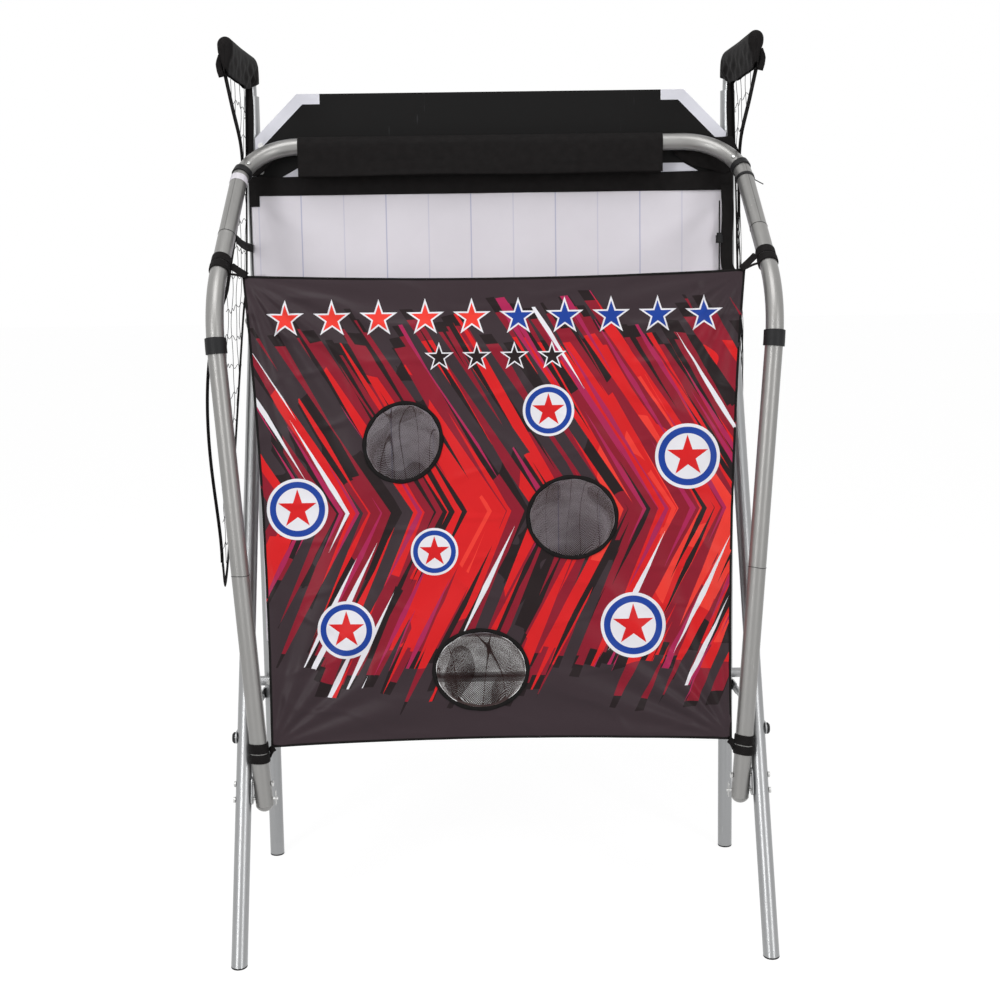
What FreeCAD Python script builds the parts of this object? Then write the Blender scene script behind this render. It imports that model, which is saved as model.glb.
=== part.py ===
import FreeCAD, Part

import math
import os

from FreeCAD import Matrix, Placement, Rotation, Vector

os.makedirs("parts", exist_ok=True)

# Pitching target net: a leaning stand of steel tube, a front frame that folds
# forward on it, a printed target sheet with three mesh pockets, a rear cloth,
# a backboard and two side nets. Millimetres, +X right, +Y away from the
# player, +Z up, origin on the floor under the middle of the object's box.
# Heights are given from the floor and depths from the line of the front feet.

doc = FreeCAD.newDocument("PitchingTargetNet")
dims = doc.addObject("Spreadsheet::Sheet", "dims")
aliases = []
nodes = []


def cell(alias, value, note):
    row = len(aliases) + 1
    dims.set("A%d" % row, alias)
    dims.set("B%d" % row, str(value))
    dims.set("C%d" % row, note)
    dims.setAlias("B%d" % row, alias)
    aliases.append(alias)


# Driving dimensions

cell("front_foot_y", -315.45, "front feet, depth in the object's own frame")
cell("wall", 1.5, "wall of every steel tube")
cell("play", 0.3, "radial play of pins, spigots and bolts")
cell("joint_depth", 40, "length of each swaged spigot")

cell("pole_spacing", 1045, "rear poles and front legs, centre to centre")
cell("pole_diameter", 32, "rear poles and front legs")
cell("pole_foot_depth", 567, "rear feet behind the front feet")
cell("pole_lean", 2.15, "degrees, poles lean back")
cell("pole_length", 1727, "rear pole tube, before its foot is cut level")
cell("leg_lean", 24.34, "degrees, front legs lean back")
cell("leg_length", 1407, "front leg tube, before its foot is cut level")
cell("foot_gap", 3.5, "tube ends above the floor, cut level")
cell("foot_stock", 12, "tube below the floor line that the level cut takes off")
cell("foot_plug_depth", 22, "length of a foot inside its tube")

cell("arm_diameter", 22, "net arms")
cell("arm_height", 1785, "centre of the net arms")
cell("arm_reach_depth", 290, "tip of the net arms")
cell("arm_bend", 55, "bend radius of a net arm")
cell("arm_insert", 75, "length of the arm's plug in the pole")

cell("gusset_pole_height", 1300, "bolt through the pole at the leg joint")
cell("gusset_leg_height", 1235, "bolt through the leg at the leg joint")
cell("gusset_width", 30, "gusset plate")
cell("plate_gauge", 3, "gussets and spreader ends")

cell("crossbar_height", 420, "rear crossbar")
cell("crossbar_length", 1106, "rear crossbar")
cell("crossbar_diameter", 22, "rear crossbar")
cell("spreader_diameter", 14, "spreader bars between leg and pole")
cell("spreader_leg_height", 407, "spreader bolt through the leg")
cell("spreader_pole_height", 385, "spreader bolt through the pole")
cell("spreader_tab", 42, "flat end of a spreader, from its bolt")
cell("spreader_tab_width", 24, "flat end of a spreader")
cell("knob_radius", 11.5, "hand knob on the spreader bolt")
cell("knob_height", 6, "hand knob on the spreader bolt")
cell("bolt_radius", 3, "through bolts")
cell("bolt_head_radius", 6, "through bolts")
cell("bolt_head_height", 4, "through bolts")

cell("board_width", 1030, "backboard")
cell("board_bottom", 1535, "backboard")
cell("board_top", 1722, "backboard")
cell("board_chamfer", 93, "cut top corners of the backboard")
cell("board_thickness", 9, "backboard")
cell("board_lean", 2.15, "degrees, backboard leans with the poles")

cell("cloth_width", 1054, "rear cloth")
cell("cloth_top", 1512, "rear cloth")
cell("cloth_bottom", 512, "rear cloth")
cell("cloth_gap", 10, "cloth in front of the poles")
cell("cloth_fold_top", 1.2, "fold depth at the top of the cloth")
cell("cloth_fold_bottom", 6, "fold depth at the foot of the cloth")
cell("cloth_folds", 8, "half waves across the cloth")
cell("fabric", 1.5, "fabric thickness")
cell("notch_half", 498, "cloth's side notches round the gussets, from the middle")
cell("notch_low", 1205, "cloth's side notches")
cell("notch_high", 1326, "cloth's side notches")
cell("binding_top", 1546, "black top binding of the cloth")
cell("binding_bottom", 1504, "black top binding of the cloth")
cell("binding_tab", 22, "end tabs of the binding")

cell("frame_diameter", 36, "front frame tube")
cell("pivot_half", 485, "front frame pivot, from the middle")
cell("pivot_depth", 145.6, "front frame pivot")
cell("pivot_height", 322, "front frame pivot")
cell("elbow_half", 560, "front frame elbow corner")
cell("elbow_depth", 229, "front frame elbow corner")
cell("elbow_height", 1279, "front frame elbow corner")
cell("elbow_bend", 250, "bend radius of the elbow")
cell("bar_half", 530, "front frame top corner")
cell("bar_depth", 571, "front frame top bar")
cell("bar_height", 1608, "front frame top bar")
cell("bar_bend", 125, "bend radius of the top corners")
cell("tail", 45, "front frame tube below its pivot")
cell("end_dome", 12, "domed end of the front frame")
cell("seam_low", 470, "joint along the side, from the tube's low end")
cell("seam_collar", 925, "joint under the coupler collar")
cell("seam_elbow", 1200, "joint above the elbow")
cell("seam_corner", 1390, "joint under the corner collar")
cell("strap_low", 109, "lower sheet strap along the side")
cell("strap_high", 1113, "upper sheet strap along the side")
cell("strap_loop", 22, "width of a sheet strap where it goes round the tube")
cell("strap_tail", 9, "width of a sheet strap's tail")
cell("tie_below", 42, "cable tie below the joint under the right corner collar")
cell("tie_width", 7, "cable tie")
cell("tie_tail", 21, "end of the cable tie that stands out")
cell("sleeve_left", 418, "bar sleeve's left end, from the middle")
cell("sleeve_right", 371, "bar sleeve's right end, from the middle")
cell("sleeve_hang", 66, "bar sleeve's hem below the middle of the bar")

cell("plate_thickness", 2, "quadrant plates")
cell("stop_radius", 31, "stop pin from the pivot")
cell("stop_pin_radius", 3, "stop pin")
cell("fold_angle", 60, "degrees, front frame folds forward")
cell("sheet_low_half", 466, "half width of the sheet's foot")
cell("sheet_high_half", 508, "half width of the sheet's top")
cell("sheet_low_depth", 153, "foot of the sheet")
cell("sheet_low_height", 395, "foot of the sheet")
cell("sheet_high_depth", 300, "top of the sheet")
cell("sheet_high_height", 1336, "top of the sheet")
cell("sheet_thickness", 1.6, "target sheet")
cell("edge_draw", 11, "how far the sheet's edges draw in")
cell("rim_width", 7, "bound rim of a pocket")
cell("rim_thickness", 3, "bound rim of a pocket")
cell("mesh", 1.4, "mesh of the pockets")

cell("net_cell", 60, "side net, cord to cord")
cell("net_cord", 2.2, "side net cord")
cell("net_sheet", 1.6, "side net thickness")
cell("net_half_high", 530, "side net at the arm, from the middle")
cell("net_half_low", 563, "side net at its foot, from the middle")
cell("binding_width", 15, "net binding and strap")
cell("gathered_top", 690, "right net, top of the part gathered at the pole, above the net's foot")
cell("net_foot", 745, "foot of the side nets")
cell("net_top", 1762, "height at which the side nets meet the arms")
cell("hood_length", 300, "hoods along the arms")
cell("hood_hang", 58, "hood's hem below the middle of its arm")
cell("hood_room", 5, "hood round its arm")

cell("drawcord_radius", 1.6, "cord at the cloth's right edge")
cell("drawcord_half", 499, "cord at the cloth's right edge")
cell("lock_radius", 8, "cord lock")
cell("lock_length", 17, "cord lock barrel")
cell("lock_height", 1390, "cord lock barrel's lower end")
cell("snap_radius", 4, "snap buttons in the tube joints")
cell("snap_rise", 3, "snap button above its tube")
doc.recompute()


def size(alias):
    return float(dims.get(alias))


def point(x, depth, height):
    return Vector(x, size("front_foot_y") + depth, height)


def keep(item, label):
    item.Label = label
    nodes.append(item)
    return item


SIDES = (("left", -1), ("right", 1))
ALONG_X = Vector(1, 0, 0)
UP = Vector(0, 0, 1)


def leaning(degrees):
    angle = math.radians(degrees)
    return Vector(0, math.sin(angle), math.cos(angle))


LEG_DIRECTION = leaning(size("leg_lean"))
POLE_DIRECTION = leaning(size("pole_lean"))
TUBE_HALF = size("pole_spacing") / 2
POLE_RADIUS = size("pole_diameter") / 2
FRAME_RADIUS = size("frame_diameter") / 2


def leg_point(side, height):
    reach = height / LEG_DIRECTION.z
    return point(side * TUBE_HALF, reach * LEG_DIRECTION.y, height)


def pole_depth(height):
    return size("pole_foot_depth") + height * math.tan(math.radians(size("pole_lean")))


def pole_point(side, height):
    return point(side * TUBE_HALF, pole_depth(height), height)


def turned(direction):
    return Rotation(UP, direction)


# Building blocks made of Part primitives


def cylinder(name, base, direction, radius, height):
    item = doc.addObject("Part::Cylinder", name)
    item.setExpression("Radius", radius)
    item.setExpression("Height", height)
    item.Placement = Placement(base, turned(direction))
    return item


def fuse(name, parts):
    item = doc.addObject("Part::MultiFuse", name)
    item.Shapes = parts
    return item


def cut(name, base, tools):
    item = doc.addObject("Part::Cut", name)
    item.Base = base
    item.Tool = tools[0] if len(tools) == 1 else fuse(name + "_tools", tools)
    return item


def group(label, items):
    item = doc.addObject("Part::Compound", label)
    item.Links = items
    return keep(item, label)


def feature(label, shape):
    item = doc.addObject("Part::Feature", label)
    item.Shape = shape
    return item


def straight_tube(name, base, direction, diameter, length, holes):
    outer = cylinder(name + "_outer", base, direction, "dims.%s / 2" % diameter, length)
    bore = cylinder(name + "_bore", base, direction, "dims.%s / 2 - dims.wall" % diameter, length)
    return cut(name, outer, [bore] + holes)


def cross_hole(name, centre, direction=ALONG_X, reach=40):
    start = centre - direction * reach
    return cylinder(name, start, direction, "dims.bolt_radius + dims.play", "%g" % (2 * reach))


def through_bolt(name, centre, side, outer, inner):
    out = ALONG_X * side
    head_base = Vector(side * outer, centre.y, centre.z)
    nut_base = Vector(side * inner, centre.y, centre.z)
    shank_length = "%g + dims.bolt_head_height" % (outer - inner)
    shank_base = nut_base - out * size("bolt_head_height")
    shank = cylinder(name + "_shank", shank_base, out, "dims.bolt_radius", shank_length)
    head = cylinder(name + "_head", head_base, out, "dims.bolt_head_radius", "dims.bolt_head_height")
    rounded = doc.addObject("Part::Fillet", name + "_round_head")
    doc.recompute()
    rounded.Base = head
    rim = top_edge(head.Shape, head_base + out * size("bolt_head_height"))
    rounded.Edges = [(rim, 1.5, 1.5)]
    nut = doc.addObject("Part::Prism", name + "_nut")
    nut.Polygon = 6
    nut.setExpression("Circumradius", "dims.bolt_head_radius")
    nut.setExpression("Height", "dims.bolt_head_height")
    nut.Placement = Placement(nut_base, turned(out * -1))
    return fuse(name, [shank, rounded, nut])


def top_edge(shape, centre):
    for number, edge in enumerate(shape.Edges, 1):
        if isinstance(edge.Curve, Part.Circle) and edge.Curve.Center.distanceToPoint(centre) < 0.01:
            return number
    raise RuntimeError("no rim there")


# PartDesign bodies: each sketch lies on one of its body's own planes


def new_body(label):
    body = doc.addObject("PartDesign::Body", label)
    body.Label = label
    return body


def new_sketch(body, role, name, offset=None):
    sketch = body.newObject("Sketcher::SketchObject", name)
    for plane in body.Origin.OriginFeatures:
        if plane.Role == role:
            sketch.AttachmentSupport = [(plane, "")]
    sketch.MapMode = "FlatFace"
    if offset is not None:
        sketch.AttachmentOffset = Placement(offset, Rotation())
    return sketch


def pad(body, sketch, name, length, middle=False, backwards=False):
    feat = body.newObject("PartDesign::Pad", name)
    feat.Profile = sketch
    feat.setExpression("Length", length)
    feat.Midplane = middle
    feat.Reversed = backwards
    return feat


def pocket(body, sketch, name, length, middle=False, backwards=False):
    feat = body.newObject("PartDesign::Pocket", name)
    feat.Profile = sketch
    feat.setExpression("Length", length)
    feat.Midplane = middle
    feat.Reversed = backwards
    return feat


def revolve(body, sketch, name):
    feat = body.newObject("PartDesign::Revolution", name)
    feat.Profile = sketch
    feat.ReferenceAxis = (sketch, ["V_Axis"])
    feat.Angle = 360
    return feat


def outline(sketch, corners):
    flat = [Vector(x, y, 0) for x, y in corners]
    for first, last in zip(flat, flat[1:] + flat[:1]):
        sketch.addGeometry(Part.LineSegment(first, last), False)


def circle(sketch, x, y, radius):
    sketch.addGeometry(Part.Circle(Vector(x, y, 0), UP, radius), False)


# Routes of bent tubes: straight runs joined by tangent arcs


class Route:
    def __init__(self, corners, radii):
        self.pieces = []
        here = corners[0]
        for before, corner, after, radius in zip(corners, corners[1:], corners[2:], radii):
            back = (before - corner).normalize()
            ahead = (after - corner).normalize()
            half = back.getAngle(ahead) / 2
            run = radius / math.tan(half)
            centre = corner + (back + ahead).normalize() * (radius / math.sin(half))
            start = corner + back * run
            end = corner + ahead * run
            self.pieces.append(("run", here, start, None))
            self.pieces.append(("bend", start, end, centre))
            here = end
        self.pieces.append(("run", here, corners[-1], None))

    def length(self, piece):
        kind, start, end, centre = piece
        if kind == "run":
            return (end - start).Length
        return (start - centre).Length * (start - centre).getAngle(end - centre)

    def total(self):
        return sum(self.length(piece) for piece in self.pieces)

    def on_piece(self, piece, distance):
        kind, start, end, centre = piece
        if kind == "run":
            return start + (end - start).normalize() * distance
        first = start - centre
        axis = first.cross(end - centre)
        angle = math.degrees(distance / first.Length)
        return centre + Rotation(axis, angle).multVec(first)

    def spot(self, distance):
        for piece in self.pieces:
            span = self.length(piece)
            if distance <= span or piece is self.pieces[-1]:
                return self.on_piece(piece, distance)
            distance -= span

    def heading(self, distance):
        step = 0.01
        return (self.spot(distance + step) - self.spot(distance - step)).normalize()

    def wire(self, first, last):
        edges = []
        passed = 0.0
        for piece in self.pieces:
            span = self.length(piece)
            low = max(first - passed, 0.0)
            high = min(last - passed, span)
            if high - low > 0.001:
                start = self.on_piece(piece, low)
                end = self.on_piece(piece, high)
                if piece[0] == "run":
                    edges.append(Part.LineSegment(start, end).toShape())
                else:
                    middle = self.on_piece(piece, (low + high) / 2)
                    edges.append(Part.Arc(start, middle, end).toShape())
            passed += span
        return Part.Wire(edges)

    def rod(self, first, last, radius):
        wire = self.wire(first, last)
        start = self.spot(first)
        edge = wire.Edges[0]
        tangent = edge.tangentAt(edge.FirstParameter)
        profile = Part.Wire([Part.makeCircle(radius, start, tangent)])
        return wire.makePipeShell([profile], True, False)

    def tube(self, first, last, radius, bore):
        return self.rod(first, last, radius).cut(self.rod(first, last, bore))


def joined_tube(route, first, last, spigot, holes):
    bore = FRAME_RADIUS - size("wall")
    neck = bore - size("play")
    shape = route.tube(first, last, FRAME_RADIUS, bore)
    if spigot:
        inner = neck - size("wall")
        shape = shape.fuse(route.tube(last - 15, last, bore + 0.5, inner))
        shape = shape.fuse(route.tube(last - 0.5, last + size("joint_depth"), neck, inner))
    for hole in holes:
        shape = shape.cut(hole)
    return shape.removeSplitter()


def side_route(side):
    pivot = point(side * size("pivot_half"), size("pivot_depth"), size("pivot_height"))
    elbow = point(side * size("elbow_half"), size("elbow_depth"), size("elbow_height"))
    corner = point(side * size("bar_half"), size("bar_depth"), size("bar_height"))
    middle = point(0, size("bar_depth"), size("bar_height"))
    low = pivot + (pivot - elbow).normalize() * size("tail")
    return Route([low, elbow, corner, middle], [size("elbow_bend"), size("bar_bend")])


routes = {side: side_route(side) for name, side in SIDES}
pivots = {side: routes[side].spot(size("tail")) for name, side in SIDES}


def spot_hole(centre, direction, radius, reach=30):
    return Part.makeCylinder(radius, 2 * reach, centre - direction * reach, direction)


# Rear poles and front legs

LEG_HOLES = ("gusset_leg_height", "spreader_leg_height")
POLE_HOLES = ("gusset_pole_height", "spreader_pole_height")
PIN_HOLE = size("bolt_radius") + size("play")


def snap_point(side):
    height = size("arm_height") - size("arm_bend") - size("arm_insert") + 22
    return pole_point(side, height)


def slab(name, centre, low, high):
    box = doc.addObject("Part::Box", name)
    box.Length = 200
    box.Width = 200
    box.Height = high - low
    box.Placement = Placement(Vector(centre.x - 100, centre.y - 100, low), Rotation())
    return box


for name, side in SIDES:
    out = ALONG_X * side
    foot = pole_point(side, -size("foot_stock"))
    holes = [cross_hole("%s_%s" % (name, alias), pole_point(side, size(alias))) for alias in POLE_HOLES]
    holes.append(slab(name + "_pole_level", foot, -100, size("foot_gap")))
    bar_centre = pole_point(side, size("crossbar_height"))
    holes.append(cross_hole(name + "_crossbar_hole", bar_centre, Vector(0, 1, 0)))
    snap_hole = cylinder(name + "_snap_hole", snap_point(side), out, "dims.snap_radius + dims.play", "30")
    holes.append(snap_hole)
    label = name + "_rear_pole"
    keep(straight_tube(label, foot, POLE_DIRECTION, "pole_diameter", "dims.pole_length", holes), label)

    foot = leg_point(side, -size("foot_stock"))
    holes = [cross_hole("%s_%s" % (name, alias), leg_point(side, size(alias))) for alias in LEG_HOLES]
    holes.append(slab(name + "_leg_level", foot, -100, size("foot_gap")))
    holes.append(cross_hole(name + "_pivot_hole", pivots[side], reach=70))
    plate_point = pivots[side] - LEG_DIRECTION * size("stop_radius")
    holes.append(cross_hole(name + "_plate_hole", plate_point, reach=70))
    leg = straight_tube(name + "_front_leg", foot, LEG_DIRECTION, "pole_diameter", "dims.leg_length", holes)
    keep(leg, name + "_front_leg")


# Feet: a plug inside the tube and a thin tread between the level tube end and the floor


def foot(name, centre, direction):
    start = centre - direction * size("foot_plug_depth")
    stem_radius = "dims.pole_diameter / 2 - dims.wall - 0.1"
    length = "2 * dims.foot_plug_depth"
    stem = cylinder(name + "_stem", start, direction, stem_radius, length)
    round_bar = cylinder(name + "_bar", start, direction, "dims.pole_diameter / 2", length)
    tread = cut(name + "_tread", round_bar, [slab(name + "_above", centre, size("foot_gap"), 100)])
    whole = fuse(name + "_whole", [stem, tread])
    level = cut(name + "_level", whole, [slab(name + "_floor", centre, -100, 0)])
    doc.recompute()
    soft = doc.addObject("Part::Fillet", name)
    soft.Base = level
    rim = [n for n, edge in enumerate(level.Shape.Edges, 1) if edge.BoundBox.ZMax < 0.01]
    soft.Edges = [(n, 1.5, 1.5) for n in rim]
    return soft


feet = {}
for name, side in SIDES:
    feet[name + "_rear"] = foot(name + "_rear_foot", pole_point(side, size("foot_gap")), POLE_DIRECTION)
    feet[name + "_front"] = foot(name + "_front_foot", leg_point(side, size("foot_gap")), LEG_DIRECTION)
group("rear_feet", [feet["left_rear"], feet["right_rear"]])
group("front_feet", [feet["left_front"], feet["right_front"]])


# Gussets: a plate on each face of the leg and pole, bolted through both


def gusset(name, side, face):
    body = new_body(name)
    sketch = new_sketch(body, "YZ_Plane", name + "_outline")
    top = pole_point(side, size("gusset_pole_height"))
    low = leg_point(side, size("gusset_leg_height"))
    along = Vector(0, top.y - low.y, top.z - low.z).normalize()
    across = Vector(0, -along.z, along.y)
    half = size("gusset_width") / 2
    ends = []
    for centre, way in ((low, -1), (top, 1)):
        flat = Vector(centre.y, centre.z, 0)
        sideways = Vector(across.y, across.z, 0) * half
        beyond = Vector(along.y, along.z, 0) * (way * half)
        ends.append((flat + sideways, flat + beyond, flat - sideways))
    sketch.addGeometry(Part.Arc(*ends[0]), False)
    sketch.addGeometry(Part.Arc(*ends[1]), False)
    sketch.addGeometry(Part.LineSegment(ends[0][0], ends[1][0]), False)
    sketch.addGeometry(Part.LineSegment(ends[0][2], ends[1][2]), False)
    for centre in (low, top):
        circle(sketch, centre.y, centre.z, PIN_HOLE)
    pad(body, sketch, name + "_plate", "dims.plate_gauge", middle=True)
    body.Placement = Placement(Vector(side * face, 0, 0), Rotation())
    return body


plates = []
frame_bolts = []
OUTER_FACE = TUBE_HALF + POLE_RADIUS + size("plate_gauge")
INNER_FACE = TUBE_HALF - POLE_RADIUS - size("plate_gauge")
for name, side in SIDES:
    half_gauge = size("plate_gauge") / 2
    plates.append(gusset(name + "_outer_gusset", side, OUTER_FACE - half_gauge))
    plates.append(gusset(name + "_inner_gusset", side, INNER_FACE + half_gauge))
    pole_bolt = pole_point(side, size("gusset_pole_height"))
    leg_bolt = leg_point(side, size("gusset_leg_height"))
    frame_bolts.append(through_bolt(name + "_gusset_pole_bolt", pole_bolt, side, OUTER_FACE, INNER_FACE))
    frame_bolts.append(through_bolt(name + "_gusset_leg_bolt", leg_bolt, side, OUTER_FACE, INNER_FACE))
    spread = pole_point(side, size("spreader_pole_height"))
    inner = TUBE_HALF - POLE_RADIUS
    frame_bolts.append(through_bolt(name + "_spreader_pole_bolt", spread, side, OUTER_FACE, inner))
group("leg_gussets", plates)


# Spreader bars: tube with flat ends outside the leg and the pole


def spreader(name, side):
    front = leg_point(side, size("spreader_leg_height"))
    rear = pole_point(side, size("spreader_pole_height"))
    front.x = rear.x = side * (OUTER_FACE - size("plate_gauge") / 2)
    along = (rear - front).normalize()
    tab = size("spreader_tab")
    span = (rear - front).Length - 2 * tab
    bar = cylinder(name + "_bar", front + along * tab, along, "dims.spreader_diameter / 2", "%g" % span)
    pieces = [bar]
    for end, way in ((front, 1), (rear, -1)):
        flat = doc.addObject("Part::Box", "%s_flat_%s" % (name, "front" if way > 0 else "rear"))
        flat.setExpression("Length", "dims.plate_gauge")
        flat.setExpression("Width", "dims.spreader_tab + 6")
        flat.setExpression("Height", "dims.spreader_tab_width")
        angle = math.degrees(math.atan2(along.z * way, along.y * way))
        rotation = Rotation(ALONG_X, angle)
        corner = Vector(-size("plate_gauge") / 2, 0, -size("spreader_tab_width") / 2)
        flat.Placement = Placement(end + rotation.multVec(corner), rotation)
        disc = cylinder(flat.Name + "_round", end, ALONG_X, "dims.spreader_tab_width / 2", "dims.plate_gauge")
        disc.Placement = Placement(end - ALONG_X * (size("plate_gauge") / 2), turned(ALONG_X))
        pieces += [flat, disc]
    whole = fuse(name + "_whole", pieces)
    holes = [cross_hole(name + "_hole_front", front), cross_hole(name + "_hole_rear", rear)]
    return cut(name, whole, holes)


def spreader_bolt(name, side):
    centre = leg_point(side, size("spreader_leg_height"))
    out = ALONG_X * side
    inner = Vector(side * (TUBE_HALF - POLE_RADIUS), centre.y, centre.z)
    length = "dims.pole_diameter + dims.plate_gauge + dims.knob_height - 1"
    shank = cylinder(name + "_shank", inner, out, "dims.bolt_radius", length)
    head = cylinder(name + "_head", inner, out * -1, "dims.bolt_head_radius", "dims.bolt_head_height")
    return fuse(name, [shank, head])


def knob(name, side):
    body = new_body(name)
    profile = new_sketch(body, "XZ_Plane", name + "_profile")
    radius = size("knob_radius")
    high = size("knob_height")
    bore = size("bolt_radius") + size("play")
    corners = [(bore, 0), (radius, 0), (radius, high - 3), (radius - 3, high), (0, high), (0, high - 0.5)]
    corners += [(bore, high - 0.5)]
    outline(profile, corners)
    revolve(body, profile, name + "_turned")
    grips = new_sketch(body, "XY_Plane", name + "_grips")
    circle(grips, radius + 1.5, 0, 2.6)
    groove = pocket(body, grips, name + "_grip", "dims.knob_height + 1", backwards=True)
    pattern = body.newObject("PartDesign::PolarPattern", name + "_grip_ring")
    pattern.Originals = [groove]
    pattern.Axis = (profile, ["V_Axis"])
    pattern.Occurrences = 8
    pattern.Angle = 360
    body.Tip = pattern
    centre = leg_point(side, size("spreader_leg_height"))
    base = Vector(side * (OUTER_FACE + size("play")), centre.y, centre.z)
    body.Placement = Placement(base, turned(ALONG_X * side))
    return keep(body, name)


spreader_bolts = []
for name, side in SIDES:
    keep(spreader(name + "_spreader", side), name + "_spreader")
    spreader_bolts.append(spreader_bolt(name + "_spreader_bolt", side))
    knob(name + "_spreader_knob", side)
group("spreader_bolts", spreader_bolts)


# Rear crossbar, bolted to the front of both poles

bar_depth = pole_depth(size("crossbar_height")) - POLE_RADIUS - size("crossbar_diameter") / 2
bar_left = point(-size("crossbar_length") / 2, bar_depth, size("crossbar_height"))
bar_holes = []
for name, side in SIDES:
    crossing = point(side * TUBE_HALF, bar_depth, size("crossbar_height"))
    bar_holes.append(cross_hole(name + "_bar_bolt_hole", crossing, Vector(0, 1, 0)))
    front = crossing.y - size("crossbar_diameter") / 2
    rear = pole_point(side, size("crossbar_height")).y + POLE_RADIUS
    backwards = Vector(0, 1, 0)
    tail_length = "%g + 2 * dims.bolt_head_height" % (rear - front)
    start = Vector(crossing.x, front - size("bolt_head_height"), crossing.z)
    shank = cylinder(name + "_bar_shank", start, backwards, "dims.bolt_radius", tail_length)
    head = cylinder(name + "_bar_head", start, backwards, "dims.bolt_head_radius", "dims.bolt_head_height")
    nut_base = Vector(crossing.x, rear + 0.3, crossing.z)
    nut = doc.addObject("Part::Prism", name + "_bar_nut")
    nut.Polygon = 6
    nut.setExpression("Circumradius", "dims.bolt_head_radius")
    nut.setExpression("Height", "dims.bolt_head_height")
    nut.Placement = Placement(nut_base, turned(backwards))
    frame_bolts.append(fuse(name + "_crossbar_bolt", [shank, head, nut]))
crossbar = straight_tube(
    "rear_crossbar", bar_left, ALONG_X, "crossbar_diameter", "dims.crossbar_length", bar_holes
)
keep(crossbar, "rear_crossbar")
group("frame_bolts", frame_bolts)


# Net arms: bent tube with a plug that fits inside the pole


def arm_route(side):
    corner = pole_point(side, size("arm_height"))
    low = pole_point(side, size("arm_height") - size("arm_bend") - size("arm_insert"))
    tip = point(side * TUBE_HALF, size("arm_reach_depth"), size("arm_height"))
    return Route([low, corner, tip], [size("arm_bend")])


POLE_TOP = size("pole_length") * POLE_DIRECTION.z - size("foot_stock")
arm_radius = size("arm_diameter") / 2
for name, side in SIDES:
    route = arm_route(side)
    foot_point = route.spot(0)
    insert_length = (POLE_TOP - foot_point.z) / POLE_DIRECTION.z
    bore = POLE_RADIUS - size("wall") - size("play")
    shape = route.tube(0, route.total(), arm_radius, arm_radius - size("wall"))
    plug = route.tube(0, insert_length, bore, arm_radius - 0.5)
    collar = route.tube(insert_length, insert_length + 6, POLE_RADIUS, arm_radius - 0.5)
    shape = shape.fuse([plug, collar])
    tip_cap = route.rod(route.total() - 0.5, route.total() + 0.5, arm_radius)
    snap = snap_point(side)
    shape = shape.cut(Part.makeCylinder(size("snap_radius") + size("play"), 30, snap, ALONG_X * side))
    shape = shape.fuse(tip_cap).removeSplitter()
    keep(feature(name + "_net_arm", shape), name + "_net_arm")


def snap_button(label, surface, out, tube_radius):
    body = new_body(label)
    profile = new_sketch(body, "XZ_Plane", label + "_profile")
    radius = size("snap_radius")
    rise = size("snap_rise")
    depth = 13
    corners = [(0, -depth), (radius + 1.6, -depth), (radius + 1.6, -depth + 2), (radius, -depth + 2)]
    corners += [(radius, rise - 1.2), (radius - 1.2, rise), (0, rise)]
    outline(profile, corners)
    revolve(body, profile, label + "_turned")
    body.Placement = Placement(surface, turned(out))
    return keep(body, label)


for name, side in SIDES:
    out = ALONG_X * side
    snap_button(name + "_arm_button", snap_point(side) + out * POLE_RADIUS, out, POLE_RADIUS)


# Backboard on the pole fronts

board = new_body("backboard")
board_face = new_sketch(board, "XZ_Plane", "backboard_outline")
half = size("board_width") / 2
tall = size("board_top") - size("board_bottom")
notch = size("board_chamfer")
outline(
    board_face,
    [(-half, 0), (half, 0), (half, tall - notch)]
    + [(half - notch, tall), (notch - half, tall), (-half, tall - notch)],
)
BOARD_BOLT_HEIGHTS = (22, 78)
for name, side in SIDES:
    for high in BOARD_BOLT_HEIGHTS:
        circle(board_face, side * (half - 12), high, PIN_HOLE)
pad(board, board_face, "backboard_panel", "dims.board_thickness")
board_back = pole_depth(size("board_bottom")) - POLE_RADIUS / POLE_DIRECTION.z
board_base = point(0, board_back - 0.2, size("board_bottom"))
board.Placement = Placement(board_base, Rotation(ALONG_X, -size("board_lean")))
keep(board, "backboard")

board_bolts = []
for name, side in SIDES:
    for high in BOARD_BOLT_HEIGHTS:
        seat = board.Placement.multVec(Vector(side * (half - 12), -size("board_thickness"), high))
        inward = Rotation(ALONG_X, -size("board_lean")).multVec(Vector(0, 1, 0))
        label = "%s_board_bolt_%d" % (name, high)
        head = cylinder(label + "_head", seat - inward * 2.5, inward, "dims.bolt_head_radius", "2.5")
        shank = cylinder(label + "_shank", seat, inward, "dims.bolt_radius", "dims.board_thickness - 0.3")
        board_bolts.append(fuse(label, [head, shank]))
group("backboard_bolts", board_bolts)


# Rear cloth with its soft vertical folds


def wave(height, depth, amplitude):
    count = int(size("cloth_folds"))
    half = size("cloth_width") / 2
    step = size("cloth_width") / count
    edges = {}
    for face in (0, size("fabric")):
        row = []
        for number in range(count):
            start = -half + number * step
            way = 1 if number % 2 else -1
            first = point(start, depth + face, height)
            crest = point(start + step / 2, depth + face + way * amplitude, height)
            last = point(start + step, depth + face, height)
            row.append(Part.Arc(first, crest, last).toShape())
        edges[face] = row
    front = edges[0]
    back = edges[size("fabric")]
    left = Part.LineSegment(front[0].Vertexes[0].Point, back[0].Vertexes[0].Point).toShape()
    right = Part.LineSegment(front[-1].Vertexes[-1].Point, back[-1].Vertexes[-1].Point).toShape()
    return Part.Wire(Part.__sortEdges__(front + [right] + back + [left]))


def cloth_depth(height):
    return pole_depth(height) - POLE_RADIUS - size("cloth_gap")


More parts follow.
